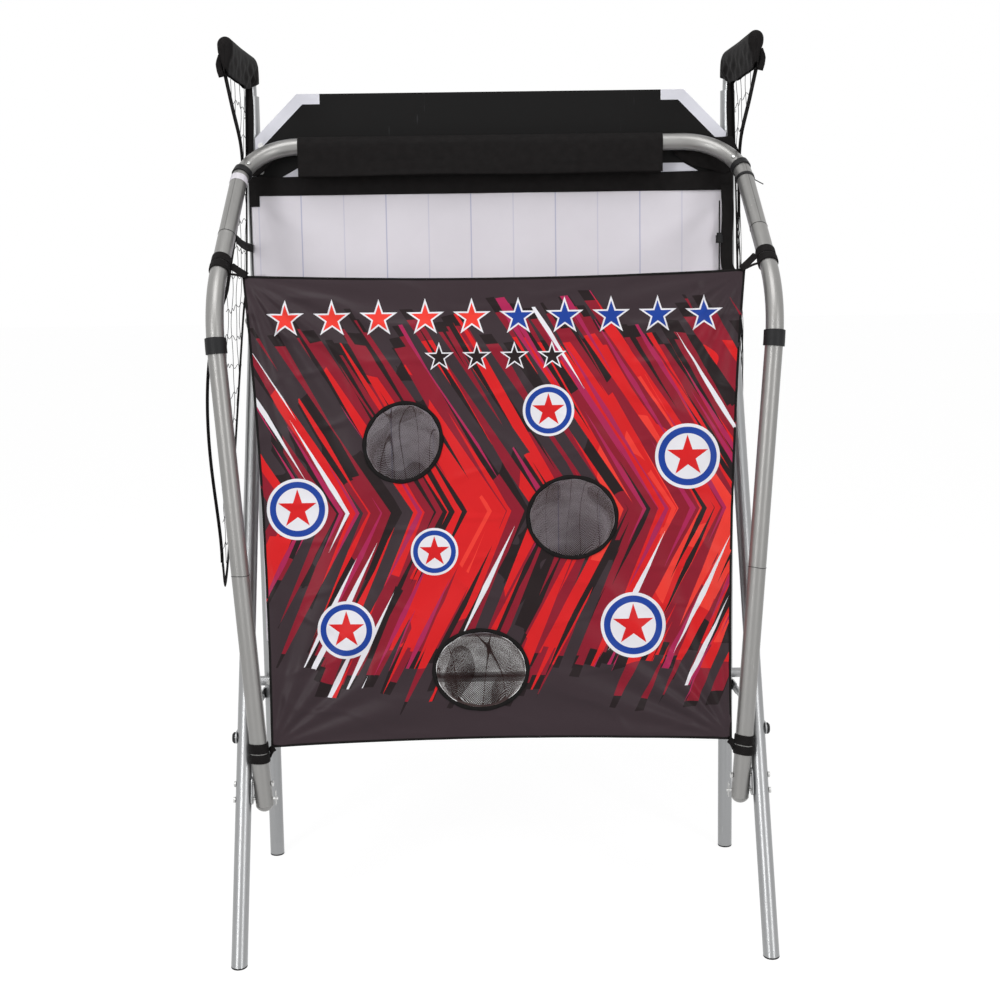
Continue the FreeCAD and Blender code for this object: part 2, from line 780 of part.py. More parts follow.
def cloth_sections():
    top = wave(size("cloth_top"), cloth_depth(size("cloth_top")), size("cloth_fold_top"))
    foot_depth = cloth_depth(size("cloth_bottom"))
    return [top, wave(size("cloth_bottom"), foot_depth, size("cloth_fold_bottom"))]


def notch_box(side):
    corner = point(side * size("notch_half"), 500, size("notch_low"))
    if side < 0:
        corner.x -= 60
    return Part.makeBox(60, 140, size("notch_high") - size("notch_low"), corner)


cloth_shape = Part.makeLoft(cloth_sections(), True, True)
for name, side in SIDES:
    cloth_shape = cloth_shape.cut(notch_box(side))
keep(feature("rear_cloth", cloth_shape), "rear_cloth")

binding = new_body("cloth_binding")
binding_face = new_sketch(binding, "XZ_Plane", "cloth_binding_outline")
half = size("cloth_width") / 2 + 4
tall = size("binding_top") - size("binding_bottom")
tab = size("binding_tab")
outline(
    binding_face,
    [(-half, -tab), (tab - half, -tab), (tab - half, 0), (half - tab, 0), (half - tab, -tab), (half, -tab)]
    + [(half, tall), (-half, tall)],
)
pad(binding, binding_face, "cloth_binding_band", "dims.fabric + 0.5")
binding_depth = cloth_depth(size("binding_bottom")) - size("cloth_fold_top") - 0.6
binding_lean = Rotation(ALONG_X, -size("board_lean"))
binding.Placement = Placement(point(0, binding_depth, size("binding_bottom")), binding_lean)
keep(binding, "cloth_binding")


# Drawcord at the right edge of the cloth, with its spring lock

CORD_DEPTH = cloth_depth(size("lock_height")) - 12
cord_top = point(size("drawcord_half"), CORD_DEPTH, size("binding_bottom") - size("binding_tab") - 0.5)
cord_low = point(size("drawcord_half"), cloth_depth(size("cloth_bottom")) - 10, size("cloth_bottom") + 6)
cord_way = (cord_top - cord_low).normalize()
cord_length = (cord_top - cord_low).Length
drawcord = cylinder("drawcord", cord_low, cord_way, "dims.drawcord_radius", "%g" % cord_length)
keep(drawcord, "drawcord")


def on_cord(height):
    return cord_low + cord_way * ((height - cord_low.z) / cord_way.z)


lock_base = on_cord(size("lock_height"))
lock_shell = cylinder("cord_lock_shell", lock_base, cord_way, "dims.lock_radius", "dims.lock_length")
cord_bore = cylinder("cord_lock_bore", lock_base, cord_way, "dims.drawcord_radius + 0.4", "dims.lock_length")
button_well = cylinder(
    "cord_lock_well", lock_base + cord_way * 6, cord_way, "dims.lock_radius - 1.6", "dims.lock_length"
)
keep(cut("cord_lock", lock_shell, [cord_bore, button_well]), "cord_lock")
button_base = lock_base + cord_way * (size("lock_length") - 7)
button = cylinder("cord_lock_button_body", button_base, cord_way, "dims.lock_radius - 2", "12")
button_bore = cylinder("cord_lock_button_bore", button_base, cord_way, "dims.drawcord_radius + 0.4", "12")
keep(cut("cord_lock_button", button, [button_bore]), "cord_lock_button")

strap_rear = point(-size("cloth_width") / 2 - 1, cloth_depth(1392) - 2, 1392)
strap_front = point(-size("cloth_width") / 2 - 10, 424, 1411)
strap = doc.addObject("Part::Box", "cloth_strap_box")
strap_way = strap_rear - strap_front
strap.setExpression("Length", "dims.fabric")
strap.Width = strap_way.Length
strap.Height = 20
strap.Placement = Placement(strap_front - Vector(0, 0, 10), Rotation(Vector(0, 1, 0), strap_way))
keep(strap, "cloth_strap")


# Side nets: one holed sheet inside a bound outline, in a leaning plane. The
# left one is spread out, the right one is gathered at its pole below the bar.
# Outlines are (depth, rise) from the line of the front feet and the net's foot.


def net_plane(side):
    slope = (size("net_half_low") - size("net_half_high")) / (size("net_top") - size("net_foot"))
    origin = point(side * size("net_half_low"), 0, size("net_foot"))
    up = Vector(-side * slope, 0, 1).normalize()
    depth = Vector(0, 1, 0)
    out = depth.cross(up)
    matrix = Matrix(
        depth.x, up.x, out.x, origin.x,
        depth.y, up.y, out.y, origin.y,
        depth.z, up.z, out.z, origin.z,
    )
    return Placement(matrix)


ARM_TIP = (298, 1012)
PAST_BAR = [ARM_TIP, (520, 872), (562, 806)]
NET_FRONT = {-1: PAST_BAR + [(360, 594), (268, 468), (236, 16)], 1: PAST_BAR + [(570, 700), (560, 40)]}
NET_REAR = {-1: [(302, 0), (534, 486), (594, 586), (609, 1004)], 1: [(586, 0), (609, 1004)]}
STRAP = {-1: NET_FRONT[-1], 1: NET_FRONT[1][:4]}


def polygon_face(corners, lift=0):
    flat = [Vector(y, z, lift) for y, z in corners]
    return Part.Face(Part.makePolygon(flat + flat[:1]))


def shifted(corners, width):
    points = [Vector(y, z, 0) for y, z in corners]
    moved = []
    for number, here in enumerate(points):
        before = points[max(number - 1, 0)]
        after = points[min(number + 1, len(points) - 1)]
        first = (here - before) if number else (after - here)
        second = (after - here) if number < len(points) - 1 else first
        left_a = UP.cross(first).normalize()
        left_b = UP.cross(second).normalize()
        mitre = (left_a + left_b).normalize()
        moved.append(here + mitre * (width / mitre.dot(left_a)))
    return [(p.x, p.y) for p in moved]


def band(corners, lift):
    return polygon_face(corners + shifted(corners, size("binding_width"))[::-1], lift)


def net_shape(side):
    outer = NET_FRONT[side] + NET_REAR[side]
    lowest = size("gathered_top") if side > 0 else 0
    rim = 6
    inner = polygon_face(outer).makeOffset2D(-rim)
    step = size("net_cell")
    gap = size("net_cell") - size("net_cord")
    holes = []
    for row in range(18):
        for column in range(9):
            low_y = 212 + column * step
            low_z = row * step - 12
            opening = polygon_face(
                [(low_y, low_z), (low_y + gap, low_z), (low_y + gap, low_z + gap), (low_y, low_z + gap)]
            )
            for face in opening.common(inner).Faces:
                if face.Area > 60 and face.BoundBox.YMin > lowest:
                    holes.append(face.OuterWire)
    face = polygon_face(outer)
    holed = face.cut(Part.makeCompound([Part.Face(wire) for wire in holes]))
    print("net gaps", side, len(holes))
    return holed.Faces[0].extrude(Vector(0, 0, size("net_sheet")))


for name, side in SIDES:
    place = net_plane(side)
    net = net_shape(side)
    lift = size("net_sheet") if side < 0 else 0
    inwards = Vector(0, 0, -side * size("fabric"))
    rear = band(NET_REAR[side], lift).extrude(inwards)
    item = feature(name + "_side_net", Part.makeCompound([net, rear]))
    item.Placement = place
    keep(item, name + "_side_net")
    item = feature(name + "_net_strap", band(STRAP[side], lift).extrude(inwards))
    item.Placement = place
    keep(item, name + "_net_strap")


# Fabric hoods over the net arms


def hood(name, side):
    body = new_body(name)
    radius = arm_radius + size("hood_room")
    drop = size("hood_hang")
    thin = size("fabric")
    arch = new_sketch(body, "XZ_Plane", name + "_arch")
    for wide, deep in ((radius, drop), (radius - thin, drop)):
        arch.addGeometry(Part.Arc(Vector(-wide, 0, 0), Vector(0, wide, 0), Vector(wide, 0, 0)), False)
        arch.addGeometry(Part.LineSegment(Vector(wide, 0, 0), Vector(wide, -deep, 0)), False)
        arch.addGeometry(Part.LineSegment(Vector(-wide, 0, 0), Vector(-wide, -deep, 0)), False)
    arch.addGeometry(Part.LineSegment(Vector(-radius, -drop, 0), Vector(thin - radius, -drop, 0)), False)
    arch.addGeometry(Part.LineSegment(Vector(radius, -drop, 0), Vector(radius - thin, -drop, 0)), False)
    pad(body, arch, name + "_sides", "dims.hood_length", backwards=True)
    end = new_sketch(body, "XZ_Plane", name + "_end")
    end.addGeometry(Part.Arc(Vector(-radius, 0, 0), Vector(0, radius, 0), Vector(radius, 0, 0)), False)
    for wide in (radius, -radius):
        end.addGeometry(Part.LineSegment(Vector(wide, 0, 0), Vector(wide, -drop, 0)), False)
    end.addGeometry(Part.LineSegment(Vector(-radius, -drop, 0), Vector(radius, -drop, 0)), False)
    pad(body, end, name + "_end_panel", "dims.fabric")
    tip = point(side * TUBE_HALF, size("arm_reach_depth") - 1, size("arm_height"))
    body.Placement = Placement(tip, Rotation())
    return keep(body, name)


for name, side in SIDES:
    hood(name + "_arm_hood", side)


# Front frame tubes, from the low ends to the top bar

SEAMS = ("seam_low", "seam_collar", "seam_elbow", "seam_corner")
TUBE_NAMES = ("lower_upright", "middle_upright", "elbow_tube", "upper_rail")


def corner_button_frame(side):
    route = routes[side]
    distance = size("seam_corner") + 20
    centre = route.spot(distance)
    heading = route.heading(distance)
    front = Vector(0, -1, 0)
    out = (front - heading * front.dot(heading)).normalize()
    return centre, out


for name, side in SIDES:
    route = routes[side]
    marks = [0] + [size(alias) for alias in SEAMS]
    pivot_hole = spot_hole(pivots[side], ALONG_X, PIN_HOLE)
    stop = route.spot(size("tail") - size("stop_radius"))
    stop_hole = spot_hole(stop, ALONG_X, size("stop_pin_radius") + size("play"))
    centre, out = corner_button_frame(side)
    snap_hole = Part.makeCylinder(size("snap_radius") + size("play"), 30, centre, out)
    drilled = {"lower_upright": [pivot_hole, stop_hole], "upper_rail": [snap_hole]}
    for tube_name, first, last in zip(TUBE_NAMES, marks, marks[1:]):
        label = "%s_%s" % (name, tube_name)
        shape = joined_tube(route, first, last, True, drilled.get(tube_name, []))
        keep(feature(label, shape), label)
    snap_button(name + "_corner_button", centre + out * FRAME_RADIUS, out, FRAME_RADIUS)


def top_bar():
    bore = FRAME_RADIUS - size("wall")
    halves = []
    for name, side in SIDES:
        route = routes[side]
        halves.append(route.tube(size("seam_corner"), route.total(), FRAME_RADIUS, bore))
    shape = halves[0].fuse(halves[1])
    for name, side in SIDES:
        centre, out = corner_button_frame(side)
        shape = shape.cut(Part.makeCylinder(size("snap_radius") + size("play"), 30, centre, out))
    return shape.removeSplitter()


keep(feature("top_bar", top_bar()), "top_bar")


# Collars: plastic rings at the corner and elbow joints


def ring_on(side, distance, length, radius):
    route = routes[side]
    return route.tube(distance, distance + length, radius, FRAME_RADIUS + 0.05)


group(
    "corner_collars",
    [
        feature(name + "_corner_collar", ring_on(side, size("seam_corner") - 7, 14, FRAME_RADIUS + 3))
        for name, side in SIDES
    ],
)
group(
    "coupler_collars",
    [
        feature(name + "_coupler_collar", ring_on(side, size("seam_collar") - 12, 31, FRAME_RADIUS + 3.5))
        for name, side in SIDES
    ],
)


# Domed plugs in the low ends of the front frame


def end_plug(name, side):
    body = new_body(name)
    profile = new_sketch(body, "XZ_Plane", name + "_profile")
    bore = FRAME_RADIUS - size("wall") - 0.1
    dome = size("end_dome")
    plug = 9
    profile.addGeometry(Part.LineSegment(Vector(0, plug, 0), Vector(bore, plug, 0)), False)
    profile.addGeometry(Part.LineSegment(Vector(bore, plug, 0), Vector(bore, 0, 0)), False)
    profile.addGeometry(Part.LineSegment(Vector(bore, 0, 0), Vector(FRAME_RADIUS, 0, 0)), False)
    ball = (FRAME_RADIUS ** 2 + dome ** 2) / (2 * dome)
    start_angle = math.asin((ball - dome) / ball)
    half_way = (start_angle + math.pi / 2) / 2
    shoulder = Vector(ball * math.cos(half_way), ball - dome - ball * math.sin(half_way), 0)
    profile.addGeometry(Part.Arc(Vector(FRAME_RADIUS, 0, 0), shoulder, Vector(0, -dome, 0)), False)
    profile.addGeometry(Part.LineSegment(Vector(0, -dome, 0), Vector(0, plug, 0)), False)
    revolve(body, profile, name + "_turned")
    route = routes[side]
    body.Placement = Placement(route.spot(0), turned(route.heading(1)))
    return body


group("end_plugs", [end_plug(name + "_end_plug", side) for name, side in SIDES])


# Quadrant plates on the legs, with the arc slot that stops the fold


def quadrant_plate(name, side):
    body = new_body(name)
    sketch = new_sketch(body, "YZ_Plane", name + "_outline")
    pivot = pivots[side]
    heading = routes[side].heading(1)
    rest = math.atan2(-heading.z, -heading.y)
    swing = math.radians(size("fold_angle"))
    radius = size("stop_radius")
    hub = 15
    reach = radius + 10

    def polar(distance, angle):
        return Vector(pivot.y + distance * math.cos(angle), pivot.z + distance * math.sin(angle), 0)

    first = rest - math.radians(34)
    last = rest + swing + math.radians(20)
    middle = (first + last) / 2
    back = middle + math.pi
    sketch.addGeometry(Part.Arc(polar(reach, first), polar(reach, middle), polar(reach, last)), False)
    sketch.addGeometry(Part.Arc(polar(hub, last + 1.1), polar(hub, back), polar(hub, first - 1.1)), False)
    sketch.addGeometry(Part.LineSegment(polar(reach, last), polar(hub, last + 1.1)), False)
    sketch.addGeometry(Part.LineSegment(polar(reach, first), polar(hub, first - 1.1)), False)
    circle(sketch, pivot.y, pivot.z, PIN_HOLE)
    leg_angle = math.atan2(-LEG_DIRECTION.z, -LEG_DIRECTION.y)
    seat = polar(radius, leg_angle)
    circle(sketch, seat.x, seat.y, PIN_HOLE)
    pad(body, sketch, name + "_plate", "dims.plate_thickness", middle=True)
    slot = new_sketch(body, "YZ_Plane", name + "_slot")
    half = size("stop_pin_radius") + size("play")
    ends = (rest, rest + swing)
    half_way = (ends[0] + ends[1]) / 2
    for distance in (radius - half, radius + half):
        arc = Part.Arc(polar(distance, ends[0]), polar(distance, half_way), polar(distance, ends[1]))
        slot.addGeometry(arc, False)
    for angle, way in ((ends[0], -1), (ends[1], 1)):
        nose = polar(radius, angle) + Vector(-math.sin(angle), math.cos(angle), 0) * (way * half)
        slot.addGeometry(Part.Arc(polar(radius - half, angle), nose, polar(radius + half, angle)), False)
    pocket(body, slot, name + "_slot_cut", "10", middle=True)
    centre = TUBE_HALF - POLE_RADIUS - size("plate_thickness") / 2 - 0.1
    body.Placement = Placement(Vector(side * centre, 0, 0), Rotation())
    return body


quadrants = []
plate_bolts = []
pivot_bolts = []
stop_pins = []
clips = []
for name, side in SIDES:
    out = ALONG_X * side
    quadrants.append(quadrant_plate(name + "_quadrant", side))
    pivot = pivots[side]
    leg_outer = TUBE_HALF + POLE_RADIUS
    plate_inner = TUBE_HALF - POLE_RADIUS - size("plate_thickness") - 0.1
    frame_inner = size("pivot_half") - FRAME_RADIUS
    pivot_bolts.append(through_bolt(name + "_pivot_bolt", pivot, side, leg_outer, frame_inner - 0.5))
    seat = pivot - LEG_DIRECTION * size("stop_radius")
    start = Vector(side * plate_inner, seat.y, seat.z)
    stud_length = "%g" % (leg_outer - plate_inner)
    stud = cylinder(name + "_plate_stud", start, out, "dims.bolt_radius", stud_length)
    head_base = Vector(side * leg_outer, seat.y, seat.z)
    head = cylinder(name + "_plate_head", head_base, out, "dims.bolt_head_radius", "dims.bolt_head_height")
    plate_bolts.append(fuse(name + "_plate_bolt", [stud, head]))
    stop = routes[side].spot(size("tail") - size("stop_radius"))
    pin_inner = Vector(side * (size("pivot_half") - FRAME_RADIUS - 12), stop.y, stop.z)
    pin_length = "%g" % (plate_inner + size("plate_thickness") - abs(pin_inner.x))
    stop_pins.append(cylinder(name + "_stop_pin", pin_inner, out, "dims.stop_pin_radius - 0.05", pin_length))
    clip_x = side * (size("pivot_half") - FRAME_RADIUS - 8)
    low_end = Vector(clip_x, stop.y - 4, stop.z - 13)
    loop = Route(
        [low_end, Vector(clip_x, stop.y - 4, stop.z + 16), Vector(clip_x, stop.y + 5.5, stop.z + 16)]
        + [Vector(clip_x, stop.y + 5.5, stop.z - 13)],
        [4.5, 4.5],
    )
    clips.append(feature(name + "_spring_clip", loop.rod(0, loop.total(), 0.9)))
group("quadrant_plates", quadrants)
group("plate_bolts", plate_bolts)
group("pivot_bolts", pivot_bolts)
group("stop_pins", stop_pins)
group("spring_clips", clips)


# Fabric sleeve over the top bar

sleeve = new_body("bar_sleeve")
sleeve_face = new_sketch(sleeve, "YZ_Plane", "bar_sleeve_profile")
outer = FRAME_RADIUS + 2.2
inner = FRAME_RADIUS + 0.7
drop = size("sleeve_hang")
for wide in (outer, inner):
    sleeve_face.addGeometry(Part.Arc(Vector(-wide, 0, 0), Vector(0, wide, 0), Vector(wide, 0, 0)), False)
    sleeve_face.addGeometry(Part.LineSegment(Vector(-wide, 0, 0), Vector(-wide, -drop, 0)), False)
    sleeve_face.addGeometry(Part.LineSegment(Vector(wide, 0, 0), Vector(wide, -drop, 0)), False)
sleeve_face.addGeometry(Part.LineSegment(Vector(-outer, -drop, 0), Vector(-inner, -drop, 0)), False)
sleeve_face.addGeometry(Part.LineSegment(Vector(outer, -drop, 0), Vector(inner, -drop, 0)), False)
pad(sleeve, sleeve_face, "bar_sleeve_cloth", "dims.sleeve_left + dims.sleeve_right")
sleeve.Placement = Placement(point(-size("sleeve_left"), size("bar_depth"), size("bar_height")), Rotation())
keep(sleeve, "bar_sleeve")


# Target sheet: plane through its four corners, with three oval openings

sheet_low = point(0, size("sheet_low_depth"), size("sheet_low_height"))
sheet_high = point(0, size("sheet_high_depth"), size("sheet_high_height"))
sheet_up = (sheet_high - sheet_low).normalize()
sheet_front = ALONG_X.cross(sheet_up)
sheet_tall = (sheet_high - sheet_low).Length
sheet_place = Placement(
    Matrix(
        1, sheet_up.x, sheet_front.x, sheet_low.x,
        0, sheet_up.y, sheet_front.y, sheet_low.y,
        0, sheet_up.z, sheet_front.z, sheet_low.z,
    )
)

# Pocket openings: name, across, up the sheet, half width, half height, turn
POCKETS = (
    ("high", -190, 612, 72, 78, -38),
    ("middle", 150, 455, 86, 78, 0),
    ("low", -40, 150, 91, 76, 0),
)


def oval(sketch, x, y, wide, tall, turn):
    long_way = max(wide, tall)
    short_way = min(wide, tall)
    angle = math.radians(turn + (0 if wide >= tall else 90))
    centre = Vector(x, y, 0)
    tip = centre + Vector(math.cos(angle), math.sin(angle), 0) * long_way
    side_tip = centre + Vector(-math.sin(angle), math.cos(angle), 0) * short_way
    sketch.addGeometry(Part.Ellipse(tip, side_tip, centre), False)


target = new_body("target_sheet")
target_face = new_sketch(target, "XY_Plane", "target_sheet_outline")
low_half = size("sheet_low_half")
high_half = size("sheet_high_half")
draw = size("edge_draw")
corners = [Vector(-low_half, 0, 0), Vector(low_half, 0, 0)]
corners += [Vector(high_half, sheet_tall, 0), Vector(-high_half, sheet_tall, 0)]
middle = Vector(0, sheet_tall / 2, 0)
for first, last in zip(corners, corners[1:] + corners[:1]):
    centre = (first + last) / 2
    inwards = (middle - centre).normalize() * draw
    target_face.addGeometry(Part.Arc(first, centre + inwards, last), False)
for label, x, y, wide, tall, turn in POCKETS:
    oval(target_face, x, y, wide, tall, turn)
pad(target, target_face, "target_sheet_cloth", "dims.sheet_thickness", middle=True)
target.Placement = sheet_place
keep(target, "target_sheet")

rims = []
for label, x, y, wide, tall, turn in POCKETS:
    rim = new_body(label + "_pocket_rim")
    rim_face = new_sketch(rim, "XY_Plane", label + "_rim_outline", Vector(0, 0, size("sheet_thickness") / 2))
    oval(rim_face, x, y, wide, tall, turn)
    extra = size("rim_width")
    oval(rim_face, x, y, wide + extra, tall + extra, turn)
    pad(rim, rim_face, label + "_rim_band", "dims.rim_thickness")
    rim.Placement = sheet_place
    rims.append(rim)
group("pocket_rims", rims)

# Mesh bags: each opening's outline, drawn back, down and together
BAG = ((0, 0, 1.0), (55, 6, 0.97), (110, 30, 0.84), (150, 66, 0.62), (166, 88, 0.3))


def bag_solid(x, y, wide, tall, turn, shrink, start):
    wires = []
    for number, (back, sag, scale) in enumerate(BAG):
        depth = -back - size("sheet_thickness") / 2
        if number == 0:
            depth += start
        if number == len(BAG) - 1:
            depth += shrink
        long_way = max(wide, tall) * scale - shrink
        short_way = min(wide, tall) * scale - shrink
        angle = math.radians(turn + (0 if wide >= tall else 90))
        centre = Vector(x, y - sag, depth)
        tip = centre + Vector(math.cos(angle), math.sin(angle), 0) * long_way
        side_tip = centre + Vector(-math.sin(angle), math.cos(angle), 0) * short_way
        wires.append(Part.Wire([Part.Ellipse(tip, side_tip, centre).toShape()]))
    return Part.makeLoft(wires, True, False)


for label, x, y, wide, tall, turn in POCKETS:
    skin = bag_solid(x, y, wide, tall, turn, 0, 0)
    hollow = bag_solid(x, y, wide, tall, turn, size("mesh"), 0)
    bag = feature(label + "_pocket", skin.cut(hollow))
    bag.Placement = sheet_place
    keep(bag, label + "_pocket")


# Corner straps: a loop round the tube and a tail to the sheet's corner


def corner_strap(name, side, distance, corner):
    route = routes[side]
    half = size("strap_loop") / 2
    loop = route.tube(distance - half, distance + half, FRAME_RADIUS + 2, FRAME_RADIUS + 0.05)
    centre = route.spot(distance)
    heading = route.heading(distance)
    goal = sheet_place.multVec(corner) + sheet_front * 8
    toward = goal - centre
    square = (toward - heading * toward.dot(heading)).normalize()
    start = centre + square * (FRAME_RADIUS + 1.2)
    width = size("strap_tail")
    tail = Part.makeBox(1.6, width, (goal - start).Length, Vector(-0.8, -width / 2, 0))
    tail.Placement = Placement(start, turned(goal - start))
    tube = route.rod(distance - 40, distance + 40, FRAME_RADIUS + 0.05)
    return feature(name, loop.fuse(tail).cut(tube))


low_straps = []
high_straps = []
for name, side in SIDES:
    low_corner = Vector(side * (low_half - 4), 5, 0)
    high_corner = Vector(side * (high_half - 4), sheet_tall - 5, 0)
    low_straps.append(corner_strap(name + "_low_strap", side, size("strap_low"), low_corner))
    high_straps.append(corner_strap(name + "_high_strap", side, size("strap_high"), high_corner))
group("lower_sheet_straps", low_straps)
group("upper_sheet_straps", high_straps)

tie_route = routes[1]
tie_distance = size("seam_corner") - size("tie_below")
tie_end = tie_distance + size("tie_width")
tie_ring = tie_route.tube(tie_distance, tie_end, FRAME_RADIUS + 1.6, FRAME_RADIUS + 0.05)
tie_heading = tie_route.heading(tie_distance)
tie_out = (ALONG_X - tie_heading * tie_heading.x).normalize()
tie_start = tie_route.spot(tie_distance) + tie_out * (FRAME_RADIUS + 1.2)
tie_tail = Part.makeCylinder(1.1, size("tie_tail"), tie_start, Vector(0.8, -0.2, -0.45))
keep(feature("cable_tie", tie_ring.fuse(tie_tail)), "cable_tie")


# Check every object, then write one STEP file per node

doc.recompute()
for item in doc.Objects:
    if "Invalid" in item.State or "Error" in item.State:
        raise RuntimeError("%s failed: %s" % (item.Label, item.State))
for item in nodes:
    shape = item.Shape
    if shape.isNull() or not shape.isValid() or not shape.Solids:
        raise RuntimeError("%s has no valid solid" % item.Label)
for item in nodes:
    item.Shape.exportStep("parts/%s.step" % item.Label)
box = Part.makeCompound([item.Shape for item in nodes]).optimalBoundingBox()
print("nodes", len(nodes))
print("box", [round(value, 1) for value in (box.XMin, box.XMax, box.YMin, box.YMax, box.ZMin, box.ZMax)])
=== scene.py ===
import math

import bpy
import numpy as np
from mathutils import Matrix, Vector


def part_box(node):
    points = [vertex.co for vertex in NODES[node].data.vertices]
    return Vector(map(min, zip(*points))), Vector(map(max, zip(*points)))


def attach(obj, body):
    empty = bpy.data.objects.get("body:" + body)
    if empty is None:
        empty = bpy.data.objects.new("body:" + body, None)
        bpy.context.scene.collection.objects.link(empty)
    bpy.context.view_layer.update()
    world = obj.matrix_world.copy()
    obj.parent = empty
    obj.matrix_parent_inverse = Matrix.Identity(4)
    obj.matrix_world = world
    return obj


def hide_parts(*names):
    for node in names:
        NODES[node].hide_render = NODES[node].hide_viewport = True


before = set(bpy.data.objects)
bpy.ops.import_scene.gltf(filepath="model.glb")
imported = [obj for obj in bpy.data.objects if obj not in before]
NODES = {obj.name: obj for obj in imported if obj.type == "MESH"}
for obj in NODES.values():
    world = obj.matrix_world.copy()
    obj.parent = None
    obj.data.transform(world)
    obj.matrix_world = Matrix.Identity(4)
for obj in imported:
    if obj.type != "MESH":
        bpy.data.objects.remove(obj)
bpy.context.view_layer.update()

bl_info = {
    "name": "Pitching Target Net",
    "version": (1, 0, 0),
    "blender": (4, 5, 0),
    "location": "View3D > Sidebar > Target Net",
    "description": "Dresses a packed pitching target net with its cloth, nets, cords and finishes",
    "category": "Object",
}

SIDES = (("left", -1), ("right", 1))
ALONG_X, ALONG_Y, UP = np.eye(3)


# Places read from the frame, in metres

def box(node):
    """Lowest and highest corner of a CAD node's box at rest."""
    return np.array(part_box(node))


SHEET_WALL = 0.0016
SHEET_LOW_HALF = 0.466
SHEET_BOX = box("target_sheet")
SHEET_HIGH_HALF = SHEET_BOX[1][0]
SHEET_LOW = np.array([0.0, SHEET_BOX[0][1] + SHEET_WALL / 2, SHEET_BOX[0][2]])
SHEET_HIGH = np.array([0.0, SHEET_BOX[1][1] - SHEET_WALL / 2, SHEET_BOX[1][2]])
SHEET_TALL = float(np.linalg.norm(SHEET_HIGH - SHEET_LOW))
SHEET_UP = (SHEET_HIGH - SHEET_LOW) / SHEET_TALL
SHEET_FRONT = np.cross(ALONG_X, SHEET_UP)
EDGE_DRAW = 0.011

# The right half of the front frame's tube: its pivot and corners, and the headings between them
FRAME_RADIUS = 0.018
PIVOT = np.array([0.485, box("pivot_bolts")[:, 1].mean(), 0.322])
FRONT_FEET = PIVOT[1] - 0.1456
ELBOW = np.array([0.560, FRONT_FEET + 0.229, 1.279])
BAR_CORNER = np.array([0.530, FRONT_FEET + 0.571, 1.608])
UPRIGHT = (ELBOW - PIVOT) / np.linalg.norm(ELBOW - PIVOT)
RAIL = (BAR_CORNER - ELBOW) / np.linalg.norm(BAR_CORNER - ELBOW)
ELBOW_BEND = 0.250
TUBE_TAIL = 0.045

# Marks along the front frame's side tubes, as distances from their low ends
TUBE_SEAMS = (0.470, 1.200)
RAIL_TAPE = 1.364

# The sheet's straps: distance along the side tube, half width and rise of the corner on the sheet,
# and each tail's places along the tube at both ends and its width
SHEET_STRAPS = {
    "lower": (0.109, SHEET_LOW_HALF, 0.0, ((0.0, 0.0, 0.014), (-0.012, -0.003, 0.006))),
    "upper": (1.113, SHEET_HIGH_HALF, SHEET_TALL, ((0.009, 0.002, 0.016), (-0.016, -0.004, 0.006))),
}
# The two loops of each strap: place along the tube, width and thickness
STRAP_LOOPS = ((0.010, 0.020, 0.0022), (-0.011, 0.018, 0.0030))

# Pocket openings on the sheet: across, up the sheet, half width, half height, turn in degrees
POCKETS = {
    "high_pocket": (-0.190, 0.612, 0.072, 0.078, -38.0),
    "middle_pocket": (0.150, 0.455, 0.086, 0.078, 0.0),
    "low_pocket": (-0.040, 0.150, 0.091, 0.076, 0.0),
}
# A pocket from its mouth to its foot: how far back and down it reaches, and its size
POCKET_RUN = ((0.0, 0.055, 0.110, 0.150, 0.166), (0.0, 0.006, 0.030, 0.066, 0.088), (1.0, 0.97, 0.84, 0.62, 0.30))

# Side nets: counts of their cords, and outlines as depth behind the front feet and rise up the
# net's leaning plane
NET_LAST_ROW, NET_COLUMNS, NET_BUNCH = 16, 8, 11
NET_DEPTHS, NET_RISES = (0.2, 0.62), (0.0, 1.02)
NET_FOOT = 0.745
NET_LOW_HALF = 0.563
NET_LEAN = 0.033 / 1.017
NET_GATHERED_TOP = 0.690
PAST_BAR = ((0.298, 1.012), (0.520, 0.872), (0.562, 0.806))
NET_FRONT = {
    -1: PAST_BAR + ((0.360, 0.594), (0.268, 0.468), (0.236, 0.016)),
    1: PAST_BAR + ((0.570, 0.700), (0.560, 0.040)),
}
NET_REAR = {-1: ((0.302, 0.0), (0.534, 0.486), (0.594, 0.586), (0.609, 1.004)), 1: ((0.586, 0.0), (0.609, 1.004))}

# The cloth behind the top bar's bends: where it starts across and its width, and places across
# and heights of its two edges
PATCH_START, PATCH_WIDE = 0.400, 0.145
PATCH_TOP = ((0.400, 0.440, 0.528, 0.545), (1.594, 1.600, 1.600, 1.575))
PATCH_FOOT = {
    -1: ((0.400, 0.468, 0.501, 0.520, 0.545), (1.588, 1.587, 1.556, 1.547, 1.556)),
    1: ((0.400, 0.440, 0.485, 0.512, 0.545), (1.585, 1.556, 1.549, 1.540, 1.556)),
}
# The bands in front of the pole tops, the second on the gathered side alone: place across, top,
# foot, depth and width
POLE_BANDS = ((0.5253, 1.742, 1.590, 0.2920, 0.0150), (0.5158, 1.516, 1.296, 0.2700, 0.0270))

# The rear cloth's side notches, and the lean of the poles that it hangs beside
NOTCH_HALF, NOTCH_LOW, NOTCH_HIGH = 0.4985, 1.205, 1.326
POLE_LEAN = math.radians(2.15)


# User settings

def colour(name, description, default):
    """A colour setting."""
    return bpy.props.FloatVectorProperty(
        name=name, description=description, default=default, subtype="COLOR", min=0.0, max=1.0
    )


def length(name, description, default, low=0.0, high=2.0):
    """A length setting in metres."""
    return bpy.props.FloatProperty(
        name=name, description=description, default=default, min=low, max=high, unit="LENGTH"
    )


